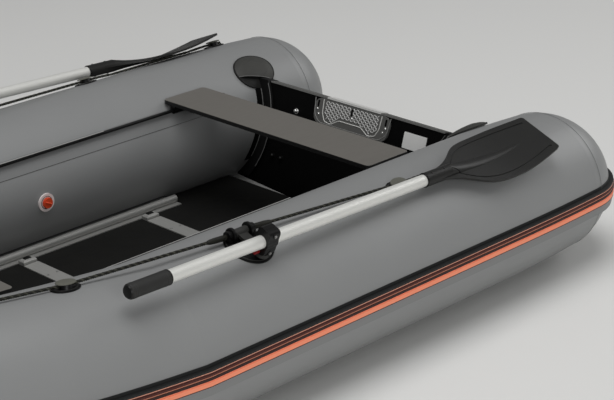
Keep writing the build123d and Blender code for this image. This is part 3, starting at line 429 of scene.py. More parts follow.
def banded_strake():
    """Co-extruded PVC strake: orange and dark red bands under a black edge, and a hull-grey skirt below."""
    material, tree, shader = finish("banded_extruded_pvc", "#1b1b1b", 0.5, specular=0.35)
    where = put(tree, COORDS, {}, "Object")
    level = put(tree, MATHS, {0: put(tree, SPLIT, {0: where}, 2), 1: TUBE_R}, operation="SUBTRACT")
    run = put(tree, MATHS, {0: put(tree, SPLIT, {0: where}, 0), 1: BEND_X}, operation="SUBTRACT")
    climb = put(tree, MATHS, {0: run, 1: math.sin(RISE)}, operation="MULTIPLY")
    square = put(tree, MATHS, {0: level, 1: math.cos(RISE)}, operation="MULTIPLY")
    rising = put(tree, MATHS, {0: square, 1: climb}, operation="SUBTRACT")
    height = put(tree, MATHS, {0: level, 1: rising}, operation="MINIMUM")
    scaled = put(tree, MATHS, {0: height, 1: PER_MM / MM}, operation="MULTIPLY")
    share = put(tree, MATHS, {0: scaled, 1: 0.5}, operation="ADD")
    bands = put(tree, "ShaderNodeValToRGB", {0: share}, to=shader[COLOUR]).node.color_ramp
    bands.interpolation = "CONSTANT"
    bands.elements.remove(bands.elements[1])
    bands.elements[0].color = linear(SKIRT_GREY)
    for from_mm, code in STRAKE_BANDS:
        bands.elements.new(0.5 + from_mm * PER_MM).color = linear(code)
    fine = put(tree, NOISE, {"Vector": where, "Scale": 1 / (2 * MM), "Detail": 2.0})
    put(tree, BUMP, {"Height": fine, "Distance": 0.04 * MM}, to=shader[NORMAL])
    return material


def rail_tape():
    """Hull fabric tape with a black extruded rail on it: a sharp black line on a hull-grey band."""
    material, tree, shader = finish("rail_on_tape", "#858686", 0.45, specular=0.35)
    ends = {0: stands_proud(tree, 2.6), 6: linear("#828383"), 7: linear("#0c0c0c")}
    put(tree, MIX, ends, MIXED, shader[COLOUR], data_type="RGBA")
    where = put(tree, COORDS, {}, "Object")
    cloth = put(tree, NOISE, {"Vector": where, "Scale": 1 / (3 * MM), "Detail": 2.0})
    put(tree, BUMP, {"Height": cloth, "Distance": 0.08 * MM}, to=shader[NORMAL])
    return material


def holder_pvc():
    """Moulded soft PVC: near-black pad on the tube and channel at the board, grey hood over them."""
    material, tree, shader = finish("moulded_soft_pvc", "#2c2c2a", 0.6, specular=0.25)
    where = put(tree, COORDS, {}, "Object")
    rise = put(tree, SPLIT, {0: where}, 2)
    low = put(tree, MATHS, {0: rise, 1: TRANSOM_TOP[2] + 6 * MM}, operation="LESS_THAN")
    tone = put(tree, NOISE, {"Vector": where, "Scale": 1 / (25 * MM), "Detail": 3.0})
    pad = put(tree, MIX, {0: tone, 6: linear("#121211"), 7: linear("#181817")}, MIXED, data_type="RGBA")
    standing = put(tree, MIX, {0: low, 6: linear("#3d3d3b"), 7: linear("#080808")}, MIXED, data_type="RGBA")
    ends = {0: stands_proud(tree, 4.8), 6: pad, 7: standing}
    put(tree, MIX, ends, MIXED, shader[COLOUR], data_type="RGBA")
    grit = put(tree, NOISE, {"Vector": where, "Scale": 1 / (1.2 * MM), "Detail": 2.0})
    put(tree, BUMP, {"Height": grit, "Distance": 0.08 * MM}, to=shader[NORMAL])
    return material


def anti_slip():
    """Plywood filmed and pressed with wire mesh: a black sheet of shallow lozenges that hardly shines."""
    material, tree, shader = finish("anti_slip_plywood_black", "#0f0f0d", 0.62, specular=0.2)
    where = put(tree, COORDS, {}, "Object")
    tone = put(tree, NOISE, {"Vector": where, "Scale": 1 / (90 * MM), "Detail": 4.0})
    ends = {0: tone, 6: linear("#0c0c0b"), 7: linear("#131311")}
    put(tree, MIX, ends, MIXED, shader[COLOUR], data_type="RGBA")
    wires = []
    for turn in (math.radians(45), math.radians(-45)):
        turned = put(tree, MAPPING, {"Vector": where, "Rotation": (0, 0, turn)})
        # the real wires' 4 mm spacing is too fine to show, so it is drawn at tau times 10 mm
        inputs = {"Vector": turned, "Scale": 1 / (WAVE_RUN * 10 * MM)}
        wires.append(put(tree, "ShaderNodeTexWave", inputs, "Fac", wave_type="BANDS"))
    height = put(tree, MATHS, dict(enumerate(wires)), operation="MAXIMUM")
    put(tree, BUMP, {"Height": height, "Distance": 0.5 * MM}, to=shader[NORMAL])
    return material


# coated cloth: a broad soft highlight along each grey tube, and an even dark skin under the boat
hull_grey = pvc_fabric("coated_pvc_fabric_grey", "#858686", "#8a8b8b", 0.42)
hull_black = pvc_fabric("coated_pvc_fabric_black", "#131313", "#171717", 0.5)
# welds and glue: a weld is one shade darker than the cloth, and glue is a thin dark line; the same dark also
# paints the shade round the valve caps and where the stringers meet the tubes
seam_grey = moulded("welded_seam_grey", "#808181", "#858686", 0.45)
dark_glue_and_painted_shade = moulded("glue_line_and_painted_shade_dark", "#38393a", "#404142", 0.6)
# extruded PVC: black rubbery edges, and a pale bead that paints the highlight along the bench rail's top
strake_rubber = moulded("extruded_pvc_black", "#181919", "#1d1e1e", 0.5, grit_mm=2.0)
strake_pvc = banded_strake()
painted_highlight_grey = moulded("rail_painted_highlight_grey", "#a2a2a0", "#aaaaa8", 0.45)
rail_pvc = rail_tape()
edge_grey = edge_profile()
# filmed plywood: deep black board and floor with hardly a highlight, and satin brown-grey benches; the
# board's black also paints the shade in the holders' hollows and beside their channels
board_film = {"grit_mm": 2.5, "depth_mm": 0.08, "specular": 0.12}
board_black_and_shade = moulded("filmed_plywood_black_and_painted_shade", "#040404", "#070707", 0.55, **board_film)
floor_black = anti_slip()
bench_brown = bench_film()
# anodised aluminium, drawn: pale and half matt, brightest on the oars' shafts
bar_aluminium = drawn_metal("anodised_aluminium_bar", "#a2a29f", "#b4b4b1", 0.5, 1, metallic=0.45)
stringer_aluminium = drawn_metal("anodised_aluminium_stringer", "#a6a6a3", "#b4b4b1", 0.34, 0, metallic=0.55)
shaft_aluminium = drawn_metal("anodised_aluminium_shaft", "#dededa", "#e8e8e3", 0.42, 0, metallic=0.35)
# steel: bright points on rings and screws, a pale brushed strip, and duller heads on small screws
stainless = drawn_metal("polished_stainless_steel", "#dcdcda", "#efefed", 0.26, 1, metallic=0.9)
strip_steel = drawn_metal("brushed_stainless_strip", "#e2e2df", "#eeeeeb", 0.42, 1, metallic=0.35)
dull_steel = drawn_metal("passivated_steel_screws", "#8f8f8d", "#a3a3a1", 0.35, 1, metallic=0.9)
# moulded polyamide: black with small crisp highlights, and a softer dark grey
fitting_black = moulded("moulded_polyamide_black", "#090909", "#0d0d0d", 0.36)
sleeve_grey = moulded("moulded_polyamide_dark_grey", "#2f2f2e", "#363634", 0.4)
# soft moulded PVC: dull skins without a sharp highlight, and olive-grey caps
holder_soft = holder_pvc()
hood_grey = moulded("moulded_soft_pvc_hood", "#393937", "#41413e", 0.55, grit_mm=2.0, depth_mm=0.15)
bead_grey = moulded("holder_bead_grey", "#6a6a69", "#747473", 0.45)
holder_olive = moulded("moulded_pvc_olive_grey", "#5b5b53", "#63635b", 0.5)
# laid polypropylene rope: black strands, and one strand painted lighter to stand for the highlight along the
# lay
rope_black = moulded("polypropylene_rope_black", "#12120d", "#1e1e18", 0.5, grit_mm=0.7, depth_mm=0.2)
rope_painted_highlight = moulded("polypropylene_rope_painted_highlight", "#3a3a32", "#48483f", 0.5, grit_mm=0.7, depth_mm=0.2)
# moulded oar parts: a blade with a soft sheen on its curves, and a duller grip
blade_grey = moulded("moulded_polypropylene_blade", "#1d1d1c", "#222221", 0.42, grit_mm=1.6, depth_mm=0.1)
grip_grey = moulded("moulded_soft_grip_grey", "#272726", "#2e2e2d", 0.55)
# moulded motor plate: mid-grey ground, and its raised tread and border painted pale as highlights
plate_grey = moulded("moulded_plate_grey", "#5e5e5c", "#686866", 0.4)
tread_painted_highlight = moulded("moulded_plate_tread_painted_highlight", "#c8c8c6", "#d8d8d6", 0.35, specular=0.5)
plate_light = moulded("moulded_plate_rim", "#8a8a88", "#949492", 0.35, specular=0.5)
border_painted_highlight = moulded("moulded_plate_border_painted_highlight", "#dcdcd8", "#e6e6e2", 0.35, specular=0.5)
# laminated film: a plain near-white patch on the black board
label_grey = moulded("laminated_label_blank", "#eaeae8", "#f0f0ee", 0.35)
# small coloured mouldings: a pale valve ring, its orange-red cap and the rowlocks' dark red latches
valve_pale = moulded("moulded_valve_ring_pale", "#e6dcda", "#efe6e4", 0.4)
valve_red = moulded("moulded_valve_cap_red", "#d64a28", "#e25430", 0.4)
latch_red = moulded("moulded_latch_dark_red", "#6e0f12", "#7b1316", 0.4)


def dress(finishes):
    """Gives each CAD node its finish."""
    for node_names, material in finishes:
        for node_name in node_names.split():
            mesh = nodes[node_name].data
            mesh.materials.clear()
            mesh.materials.append(material)


dress((
    ("main_tube_port main_tube_starboard bow_tube", hull_grey),
    ("seat_rails", rail_pvc),
    ("bottom_skin keel_tube", hull_black),
    ("keel_guard", strake_rubber),
    ("rub_strake strake_stripes", strake_pvc),
    ("transom_board", board_black_and_shade),
    ("transom_cap", edge_grey),
    ("transom_strip", strip_steel),
    ("tow_rings transom_eyes", stainless),
    ("motor_plate_inner motor_plate_outer", plate_grey),
    ("label_plate", label_grey),
    ("transom_holders", holder_soft),
    ("floor_panels", floor_black),
    ("floor_crossbars stringer_blocks", bar_aluminium),
    ("floor_stringers", stringer_aluminium),
    ("aft_bench_board front_bench_board", bench_brown),
    ("aft_bench_tracks front_bench_tracks rowlock_bases rowlock_bushes", fitting_black),
    ("bow_handle tow_patches rope_holders", fitting_black),
    ("life_line", rope_black),
    ("valve_flanges", valve_pale),
    ("valve_caps", valve_red),
))
for side in ("port", "starboard"):
    dress((
        (f"rowlock_rocker_{side}", sleeve_grey),
        (f"rowlock_collar_{side} rowlock_cap_{side}", fitting_black),
        (f"rowlock_latch_{side}", latch_red),
        (f"rowlock_screws_{side}", dull_steel),
        (f"oar_shaft_{side}", shaft_aluminium),
        (f"oar_grip_{side}", grip_grey),
        (f"oar_blade_{side}", blade_grey),
    ))


# ---- life line --------------------------------------------------------------------------------
LINE_HIGH = 8  # the line's middle over the fabric in its holders, mm
LINE_LOW = 4.5  # and under the oar's blade
PIN_HALF = 48  # half the length of a rowlock's hollow pin, mm
HOLDER_STATIONS = (-1.290, -0.763)  # holders on the straight tube
HOLDER_TURNS = (3.6, 11, 24, 42, 66)  # holders on the bow, degrees of the centre line's turn


def rope_route():
    """The line's corner points from the port stern round the bow to the starboard stern."""
    stern = ((-1.320, LINE_HIGH), (-1.245, LINE_HIGH), (-1.185, LINE_LOW))
    ahead = ((-0.868, LINE_LOW), (-0.808, LINE_HIGH), (-0.763, LINE_HIGH))
    port = [on_tube(x, ROPE_TURN, lift) for x, lift in stern + ahead]
    port += [hinge + Vector((side * PIN_HALF * MM, 0, 0)) for side in (-1, 1)]
    port += [on_bow(turned, 90, LINE_HIGH) for turned in HOLDER_TURNS]
    stem = on_bow(90, 90, LINE_HIGH)
    stem.y = 0
    return port + [stem] + [MIRROR @ point for point in reversed(port)]


def three_strands():
    """Laid rope of three strands, one of them painted lighter as a highlight, as thick over all as the plain
    line it stands for.
    """
    path = eased(rope_route(), 12, 2.2)
    lay = 18 * MM  # the length of one strand's full turn
    strand_mm = 2.05
    off_mm = 2.4  # a strand's middle from the rope's middle
    rope, highlight_strand = Shape(), Shape()
    frames = list(moving_frames(path))
    for strand in range(3):
        along = 0.0
        line = []
        for i, (here, side, other) in enumerate(frames):
            along += (here - path[i - 1]).length if i else 0.0
            a = math.tau * (along / lay + strand / 3)
            line.append(here + (side * math.cos(a) + other * math.sin(a)) * off_mm * MM)
        # the first strand is painted lighter: a painted highlight on the rope's twist
        (rope if strand else highlight_strand).bar(line, strand_mm, 5)
    highlight_strand.piece("life_line_painted_highlight", "hull", rope_painted_highlight)
    made = rope.piece("life_line_rope", "hull", rope_black)
    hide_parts("life_line")


def holder_places():
    """Frames on the skin at the middle of each port rope holder: x along the line, z off the skin."""
    a = math.radians(ROPE_TURN)
    outward = Vector((0, math.cos(a), math.sin(a)))
    places = [axes(on_tube(x, ROPE_TURN), (1, 0, 0), outward) for x in HOLDER_STATIONS]
    for turned in HOLDER_TURNS:
        way = on_bow(turned + 0.5, 90) - on_bow(turned - 0.5, 90)
        places.append(axes(on_bow(turned, 90), way, bow_up))
    return places


def rope_holder_trim():
    """Oval olive caps over the holders' bridges, and the welded rim inside each foot."""
    caps, rims = Shape(), Shape()
    under = ((0.5, 14.6), (12.0, 14.6), (15.6, 13.8), (16.6, 14.6))
    over = ((16.2, 16.2), (13.4, 17.4), (8.0, 18.0), (0.5, 18.2))
    longer = Matrix.Diagonal((1.6, 1.0, 1.0, 1.0))
    half_l, half_w = 31, 17.5
    for where in holder_places():
        caps.turned(where @ longer, under + over, 36)
        rim = []
        for k in range(40):
            a = math.tau * k / 40
            u, v = half_l * math.cos(a), half_w * math.sin(a)
            drop = math.hypot(TUBE_R / MM, v) - TUBE_R / MM
            rim.append(where @ Vector((u * MM, v * MM, (3.0 - drop) * MM)))
        rims.bar(rim, 0.9, 6, closed=True)
    hull_piece(caps, "rope_holder_caps", holder_olive)
    hull_piece(rims, "rope_holder_rims", sleeve_grey)


# ---- tubes ------------------------------------------------------------------------------------
ROUND = 96  # points round a tube
CONE_SEAM = -1.468  # where the cone's end is let in


def welded_seams():
    """Lap seams: where the stern cone's end is let in, and at the bow tube's cuts."""
    rings = Shape()
    rings.bar([on_tube(CONE_SEAM, 360 * k / ROUND, 0.1) for k in range(ROUND)], 0.6, 6, closed=True)
    hull_piece(rings, "stern_cone_seams", seam_grey)
    cuts = Shape()
    for turned in (15, 45, 75):
        cuts.bar([on_bow(turned, 360 * k / ROUND, 0.1) for k in range(ROUND)], 0.7, 6, closed=True)
    hull_piece(cuts, "bow_tube_seams", seam_grey)


def strake_flange():
    """Thin black tape that laps from the strake's upper edge onto the fabric, round the whole hull."""
    nose_x = CONE_START - NOSE_IN

    def station(kind, where, height, lift):
        """Point of the tape on the nose at an angle, or on the side at a station."""
        reach = (NOSE_R if kind == "nose" else cone_r(where)) + lift * MM
        out = math.sqrt(reach**2 - (height * MM) ** 2)
        if kind == "nose":
            a = math.radians(where)
            return Vector((nose_x - out * math.cos(a), TUBE_Y + out * math.sin(a), TUBE_R + height * MM))
        return Vector((where, TUBE_Y + out, TUBE_R + height * MM))

    stations = [("nose", -16 + 106 * k / 24) for k in range(24)]
    stations += [("side", nose_x + (BEND_X - nose_x) * k / 24) for k in range(25)]
    top, under = [], []
    for height in (23, 26, 30, 33.5):
        turn = math.degrees(math.asin(height * MM / TUBE_R))
        for grid, lift in ((top, 1.6), (under, 0.2)):
            row = [station(*where, height, lift) for where in stations]
            row += [on_bow(90 * k / 48, turn, lift) for k in range(49)]
            grid.append(row)
    tape = Shape()
    tape.layer(top, under)
    hull_piece(tape, "strake_flange", strake_rubber)


def rail_trim():
    """Dark glue line along the rail tape's lower edge, and the rail's black lip with a pale bead on it as a
    painted highlight.
    """
    glue = Shape()
    tape_mm = 26  # from the rail's root to the tape's lower edge
    foot_turn = RAIL_TURN + 4 + math.degrees(tape_mm * MM / TUBE_R)
    glue.bar([on_tube(x, foot_turn, 0.3) for x in (-1.105, -0.6, 0.020)], 1.0, 6)
    hull_piece(glue, "rail_glue_lines", dark_glue_and_painted_shade)
    bead = [on_tube(x, RAIL_TURN, RAIL_LIFT) for x in (-0.625, -0.2, 0.019)]
    a = math.radians(RAIL_TURN - 25)
    outward = Vector((0, math.cos(a), math.sin(a)))
    for name, off_mm, radius_mm, material in (
        ("rail_lips", 4.2, 2.6, fitting_black),
        # a pale bead along the lip paints the rail's highlight
        ("rail_painted_highlight", 7.4, 1.4, painted_highlight_grey),
    ):
        line = Shape()
        line.bar([point + outward * off_mm * MM for point in bead], radius_mm, 8)
        hull_piece(line, name, material)


def valve_trim():
    """Finger bar and knurled rim on the valve's cap, and a dark ring round it that paints the shade between
    cap and ring.
    """
    grips, valve_shade_ring = Shape(), Shape()
    where = axes(on_tube(-0.380, 180, 14.3), (1, 0, 0), (0, -1, 0))
    cap_r, valve_shade_r = 15.1, 18.5
    grip = [where @ Vector((x * MM, x * 0.5 * MM, 0.6 * MM)) for x in (-11, -9.5, 9.5, 11)]
    grips.bar(grip, (1.0, 2.6, 2.6, 1.0), 10)
    for k in range(20):
        a = math.tau * k / 20
        foot = Vector((cap_r * math.cos(a), cap_r * math.sin(a), -8)) * MM
        head = foot + Vector((0, 0, 7)) * MM
        grips.bar([where @ foot, where @ head], 1.0, 5)
    # a dark ring round the cap: painted shade
    ring = []
    for k in range(40):
        a = math.tau * k / 40
        ring.append(where @ (Vector((valve_shade_r * math.cos(a), valve_shade_r * math.sin(a), -9)) * MM))
    valve_shade_ring.bar(ring, 1.0, 6, closed=True)
    hull_piece(grips, "valve_cap_grips", valve_red)
    hull_piece(valve_shade_ring, "valve_painted_shade_rings", dark_glue_and_painted_shade)


# ---- transom ----------------------------------------------------------------------------------
BOARD_T = 25  # the board's thickness, mm
PLATE_T = 7  # how far each motor plate stands off the board, mm
BORDER = ((118, -5), (115, -47), (102, -70), (75, -74), (55, -62), (44, -56))
RIM = ((-153, -5), (-146, -56), (-121, -77), (121, -77), (146, -56), (153, -5))
SLOTS = (-137, 0, 137)  # upright slots in the plate, mm to port
SLOT_DOWN = -21
SLOT_HALF = 7  # half the straight part of a slot
SLOT_R = 2
BACK_FACE = -BOARD_T - PLATE_T
BAR_HALF = 4.5  # half the length of a tread bar, mm


def inside(outline, x, y):
    """Whether a point lies in a closed outline."""
    found = False
    for (x1, y1), (x2, y2) in zip(outline, outline[1:] + outline[:1]):
        if (y1 > y) != (y2 > y) and x < x1 + (y - y1) * (x2 - x1) / (y2 - y1):
            found = not found
    return found


def tread(shape, outline, out_mm, pitch=8.6, rise=6.8):
    """Short bars set in a basket pattern inside an outline on the board, clear of the middle slot."""
    reach = max(abs(x) for x, _ in outline)
    drop = min(y for _, y in outline)
    for i in range(-int(reach / pitch) - 1, int(reach / pitch) + 2):
        for j in range(int(-drop / rise) + 2):
            x, y = i * pitch, -4 - j * rise
            lean = math.radians(48 if (i + j) % 2 else -34)
            dx, dy = BAR_HALF * math.cos(lean), BAR_HALF * math.sin(lean)
            fits = all(inside(outline, x + s * dx, y + s * dy) for s in (-1.1, 1.1))
            if fits and not (abs(x) < 7 and -44 < y < -6):
                bar = [on_board(x + s * dx, y + s * dy, out_mm) for s in (-1, -0.8, 0.8, 1)]
                shape.bar(bar, (0.7, 1.6, 1.6, 0.7), 6)


def motor_plate_trim():
    """Raised border, rim and black slots on the plate for the motor's clamps, and both plates' tread; the
    front tread and the border are painted pale as highlights.
    """
    half = [on_board(x, y, PLATE_T) for x, y in BORDER]
    other = [on_board(-x, y, PLATE_T) for x, y in reversed(BORDER)]
    border = Shape()
    border.bar(eased(half + other, 7), 1.5, 8)
    # the border painted pale: a painted highlight
    border.piece("motor_plate_border", "hull", border_painted_highlight)

    rim = Shape()
    rim.bar(eased([on_board(x, y, PLATE_T) for x, y in RIM], 12), 1.3, 6)
    slots = Shape()
    for x in SLOTS:
        ring = []
        for k in range(24):
            a = math.tau * (k + 0.5) / 24
            up = SLOT_DOWN + math.copysign(SLOT_HALF, math.sin(a)) + SLOT_R * math.sin(a)
            ring.append(on_board(x + SLOT_R * math.cos(a), up, PLATE_T - 1.6))
        slots.bar(ring, 2.6, 8, closed=True)
    rim.piece("motor_plate_rim", "hull", plate_light)
    slots.piece("motor_plate_slots", "hull", board_black_and_shade)

    front = Shape()
    shrunk = [(x * 0.96, y + 4 if y < -40 else y) for x, y in BORDER]
    tread(front, shrunk + [(-x, y) for x, y in reversed(shrunk)], PLATE_T + 0.1)
    # the front tread painted pale: a painted highlight; the back tread keeps the plate's grey
    front.piece("motor_plate_tread", "hull", tread_painted_highlight)
    back = Shape()
    tread(back, [(122, -6), (122, -240), (-122, -240), (-122, -6)], BACK_FACE - 0.1)
    back.piece("motor_plate_back_tread", "hull", plate_grey)


def pan_head(shape, where, radius, height):
    """Pan-head screw with a washer under it."""
    washer = ((radius * 1.5, 0.0), (radius * 1.5, 0.7), (radius, 0.8))
    head = ((radius, height * 0.6), (radius * 0.7, height), (0.4, height))
    shape.turned(where, washer + head, 16)


def transom_screws():
    """The plates' screws, and the domed nuts with washers on the bolts that come through the board."""
    screws, caps = Shape(), Shape()
    out = board.to_3x3() @ Vector((0, 0, 1))
    across = Vector((0, 1, 0))
    for x, y in ((138, -38), (130, -52), (-138, -38), (-130, -52), (4, -38)):
        pan_head(screws, axes(on_board(x, y, PLATE_T), across, out), 3.0, 2.6)
    dome = ((9, 0), (9, 1.0), (6.6, 1.1), (6.6, 5.0), (5.8, 8.0), (3.8, 10), (0.6, 10.8))
    screws.turned(axes(on_board(-227, -66, 0), across, out), dome, 20)
    for x, y in ((252, -222), (288, -222), (-252, -222), (-288, -222), (-227, -98)):
        caps.turned(axes(on_board(x, y, 0), across, out), dome, 20)
    caps.piece("transom_nut_caps", "hull", fitting_black)
    for x, y in ((-90, -215), (90, -215), (-90, -30), (90, -30)):
        pan_head(screws, axes(on_board(x, y, BACK_FACE), across, -out), 4.0, 3.2)
    screws.piece("transom_screws", "hull", stainless)


def falls(off_mm):
    """How far the round tube lies under a plane that touches it, off to one side, in millimetres."""
    radius = TUBE_R / MM
    return radius - math.sqrt(radius**2 - off_mm**2)


def crown(rho):
    """Height of a holder's hood over the skin in mm, from its middle at 0 to its rim at 1."""
    return 3.8 + 13.0 * (1 - rho**4)


HOLDER_HALF_L, HOLDER_HALF_W = 75, 62  # the holder's oval foot, mm
LIP_START = -5.2  # where the hood's straight lip meets the foot's rim, degrees round it
SHADE_SHEET_TURNS = (146, 208)  # the black sheet painted as shade beside the channel, degrees round the tube


def holder_hood_trim():
    """Bulged hood over each holder's foot, its rolled lip, and a black sheet that paints the shade in the
    hollow ahead of the lip.
    """
    root = on_tube(-1.275, 130)
    foot = axes(root, (1, 0, 0), on_tube(-1.275, 130, 1000) - root)

    def rim_at(turn_deg):
        a = math.radians(turn_deg)
        return Vector((HOLDER_HALF_L * math.cos(a), HOLDER_HALF_W * math.sin(a)))

    def skin(u, v, lift):
        return foot @ (Vector((u, v, lift - falls(v))) * MM)

    def between_lip_and_rim(end_deg, rim_part, lift_at, thick):
        """Outer and inner grids from the lip's straight line to an arc of the foot's oval rim."""
        rows, columns = 20, 32
        start, end = rim_at(LIP_START), rim_at(end_deg)
        outer, inner = [], []
        for i in range(rows + 1):
            outer.append([])
            inner.append([])
            for j in range(columns + 1):
                rim = rim_at(LIP_START + (end_deg - LIP_START) * j / columns) * rim_part
                spot = (start.lerp(end, j / columns) * rim_part).lerp(rim, i / rows)
                lift = lift_at(min(1.0, math.hypot(spot.x / HOLDER_HALF_L, spot.y / HOLDER_HALF_W)))
                outer[-1].append(skin(*spot, lift))
                inner[-1].append(skin(*spot, lift - thick))
        return outer, inner

    hood, roll, lip_hollow_shade = Shape(), Shape(), Shape()
    outer, inner = between_lip_and_rim(230, 1.0, crown, 3.0)
    hood.layer(outer, inner)
    hull_piece(hood, "holder_hoods", hood_grey)
    roll.bar(outer[0][1:-1], 1.2, 6)
    hull_piece(roll, "holder_hood_lips", bead_grey)
    # a black sheet in the hollow under the lip: painted shade
    lip_hollow_shade.layer(*between_lip_and_rim(-130, 0.88, lambda rho: 5.0, 0.8))
    hull_piece(lip_hollow_shade, "holder_pocket_painted_shade", board_black_and_shade)


def holder_channel_trim():
    """The two light beads along each holder's channel, and a black sheet from it onto the tube that paints
    the shade there.
    """
    steps = 24

    def on_channel(turn_deg, lift_mm, out_mm):
        """Point round the tube's axis on the channel's forward face, or ahead of it."""
        a = math.radians(turn_deg)
        reach = TUBE_R + lift_mm * MM
        y, z = TUBE_Y + reach * math.cos(a), TUBE_R + reach * math.sin(a)
        up = ((z - TRANSOM_TOP[2]) / MM - out_mm * math.sin(LEAN)) / math.cos(LEAN)
        return on_board(y / MM, up, out_mm)

    beads, tape = Shape(), Shape()
    for lift, top_turn in ((2.4, 143), (36, 146)):
        beads.bar([on_channel(top_turn + 62 * k / steps, lift, 8.4) for k in range(steps + 1)], 1.2, 6)
    hull_piece(beads, "holder_channel_beads", bead_grey)
    # a black sheet on the tube beside each channel: painted shade
    sheets = []
    for lift in (1.4, 0.1):
        sheets.append([])
        for k in range(steps + 1):
            turn = SHADE_SHEET_TURNS[0] + (SHADE_SHEET_TURNS[1] - SHADE_SHEET_TURNS[0]) * k / steps
            sheets[-1].append([on_channel(turn, lift, 8 + 7 * n) for n in range(4)])
    tape.layer(*sheets)
    hull_piece(tape, "holder_channel_painted_shade", board_black_and_shade)


# ---- rowlocks and oars ------------------------------------------------------------------------
CHEEK_OUT = 22.6  # a cheek's inner face from the middle of the rowlock, mm
FOOT_TURN = 72  # the rowlock's foot, degrees round the tube
FOOT_RIM_R = 57


def rowlock_trim():
    """Round cheeks either side of each hinge, the line's thicker ends there, and the foot's raised rim."""
    cheeks = Shape()
    outside = ((8.0, 0.2), (17.0, 0.2), (18.4, 1.2), (18.8, 3.2), (18.4, 7.4), (16.8, 8.6))
    dish = ((14.4, 8.8), (13.2, 7.4), (13.2, 4.0), (8.0, 4.0))
    for side in (-1, 1):
        where = axes(hinge + Vector((side * CHEEK_OUT * MM, 0, 0)), (0, 1, 0), (side, 0, 0))
        cheeks.turned(where, outside + dish, 36)
    hull_piece(cheeks, "rowlock_cheeks", fitting_black)

    sleeves = Shape()
    route = rope_route()
    knee = next(i for i, point in enumerate(route) if (point - hinge).length < 0.05)
    for near, far in ((route[knee], route[knee - 1]), (route[knee + 1], route[knee + 2])):
        way = (far - near).normalized() * MM
        line = [near + way * reach for reach in (-3, 2, 30, 46, 52)]
        sleeves.bar(line, (7.0, 7.4, 7.4, 6.2, 4.6), 14)
    hull_piece(sleeves, "life_line_sleeves", rope_black)

    rims = Shape()
    a = math.radians(FOOT_TURN)
    foot = axes(on_tube(hinge.x, FOOT_TURN), (1, 0, 0), Vector((0, math.cos(a), math.sin(a))))
    line = []
    for k in range(72):
        a = math.tau * k / 72
        u, v = FOOT_RIM_R * math.cos(a), FOOT_RIM_R * math.sin(a)
        line.append(foot @ (Vector((u, v, 4.1 - falls(v))) * MM))
    rims.bar(line, 1.1, 6, closed=True)
    hull_piece(rims, "rowlock_foot_rims", sleeve_grey)


def along_oar(reach_mm):
    """Frame on the port oar, reach towards the grip; z runs along the shaft."""
    return oar_line @ Matrix.Translation((0, 0, reach_mm * MM))


def oar_trim():
    """Rings on the shaft, the grip's ribs and plug, the blade socket's rivets, and the collar's washers."""
    ring = Shape()
    ring.turned(along_oar(-23.5), ((16.1, -3.8), (18.2, -3.2), (18.8, 0), (18.2, 3.2), (16.1, 3.8)), 32)
    oar_piece(ring, "shaft_ring", shaft_aluminium)

    black = Shape()
    black.turned(along_oar(-570), ((16.1, 3.4), (18.6, 3.0), (19.5, 1.2), (19.5, -1.4), (19.1, -2.2)), 32)
    black.turned(along_oar(431), ((17.0, -4.2), (15.4, 0.2), (14.2, 1.6), (6.0, 2.4), (0.5, 2.5)), 32)
    black.turned(along_oar(315), ((16.1, -3.6), (18.0, -3.2), (18.9, -1.6), (18.9, 0.6), (18.5, 1.0)), 32)
    oar_piece(black, "oar_rings", fitting_black)

    ribs = Shape()
    for reach in (326, 415, 420):
        ribs.turned(along_oar(reach), ((18.2, -2.0), (18.9, -0.9), (18.9, 0.9), (18.2, 2.0)), 32)
    oar_piece(ribs, "grip_ribs", grip_grey)

    rivets = Shape()
    along = oar_line.to_3x3() @ Vector((0, 0, 1))
    socket_mm = 18.7  # the socket's skin from the oar's middle
    for reach in (-592, -640):
        for up_way in (1, -1):
            middle = oar_line @ (Vector((0, 0, reach)) * MM)
            out = (lock.to_3x3() @ Vector((0, 0, 1))) * up_way
            where = axes(middle + out * socket_mm * MM, along, out)
            rivets.turned(where, ((3.6, 0), (3.4, 0.9), (2.2, 1.5), (0.4, 1.7)), 16)
    oar_piece(rivets, "blade_rivets", fitting_black)

    washers = Shape()
    for height in (-25, 25):
        spot = lock @ (Vector((0, 20, height)) * MM)
        where = axes(spot, lock.to_3x3() @ Vector((1, 0, 0)), lock.to_3x3() @ Vector((0, 1, 0)))
        washers.turned(where, ((7.2, -0.4), (7.2, 0.9), (6.4, 1.3), (4.4, 1.3)), 24)
    oar_piece(washers, "collar_washers", fitting_black)


# ---- floor ------------------------------------------------------------------------------------
GAP_Y, GAP_Z = 0.403, 0.076  # where a stringer's outer foot meets the tube
CROSSBAR_STATIONS = (-0.729, -0.274, 0.181, 0.636)
CLIP_IN = 10  # a clip's middle in from its block's outer end, mm


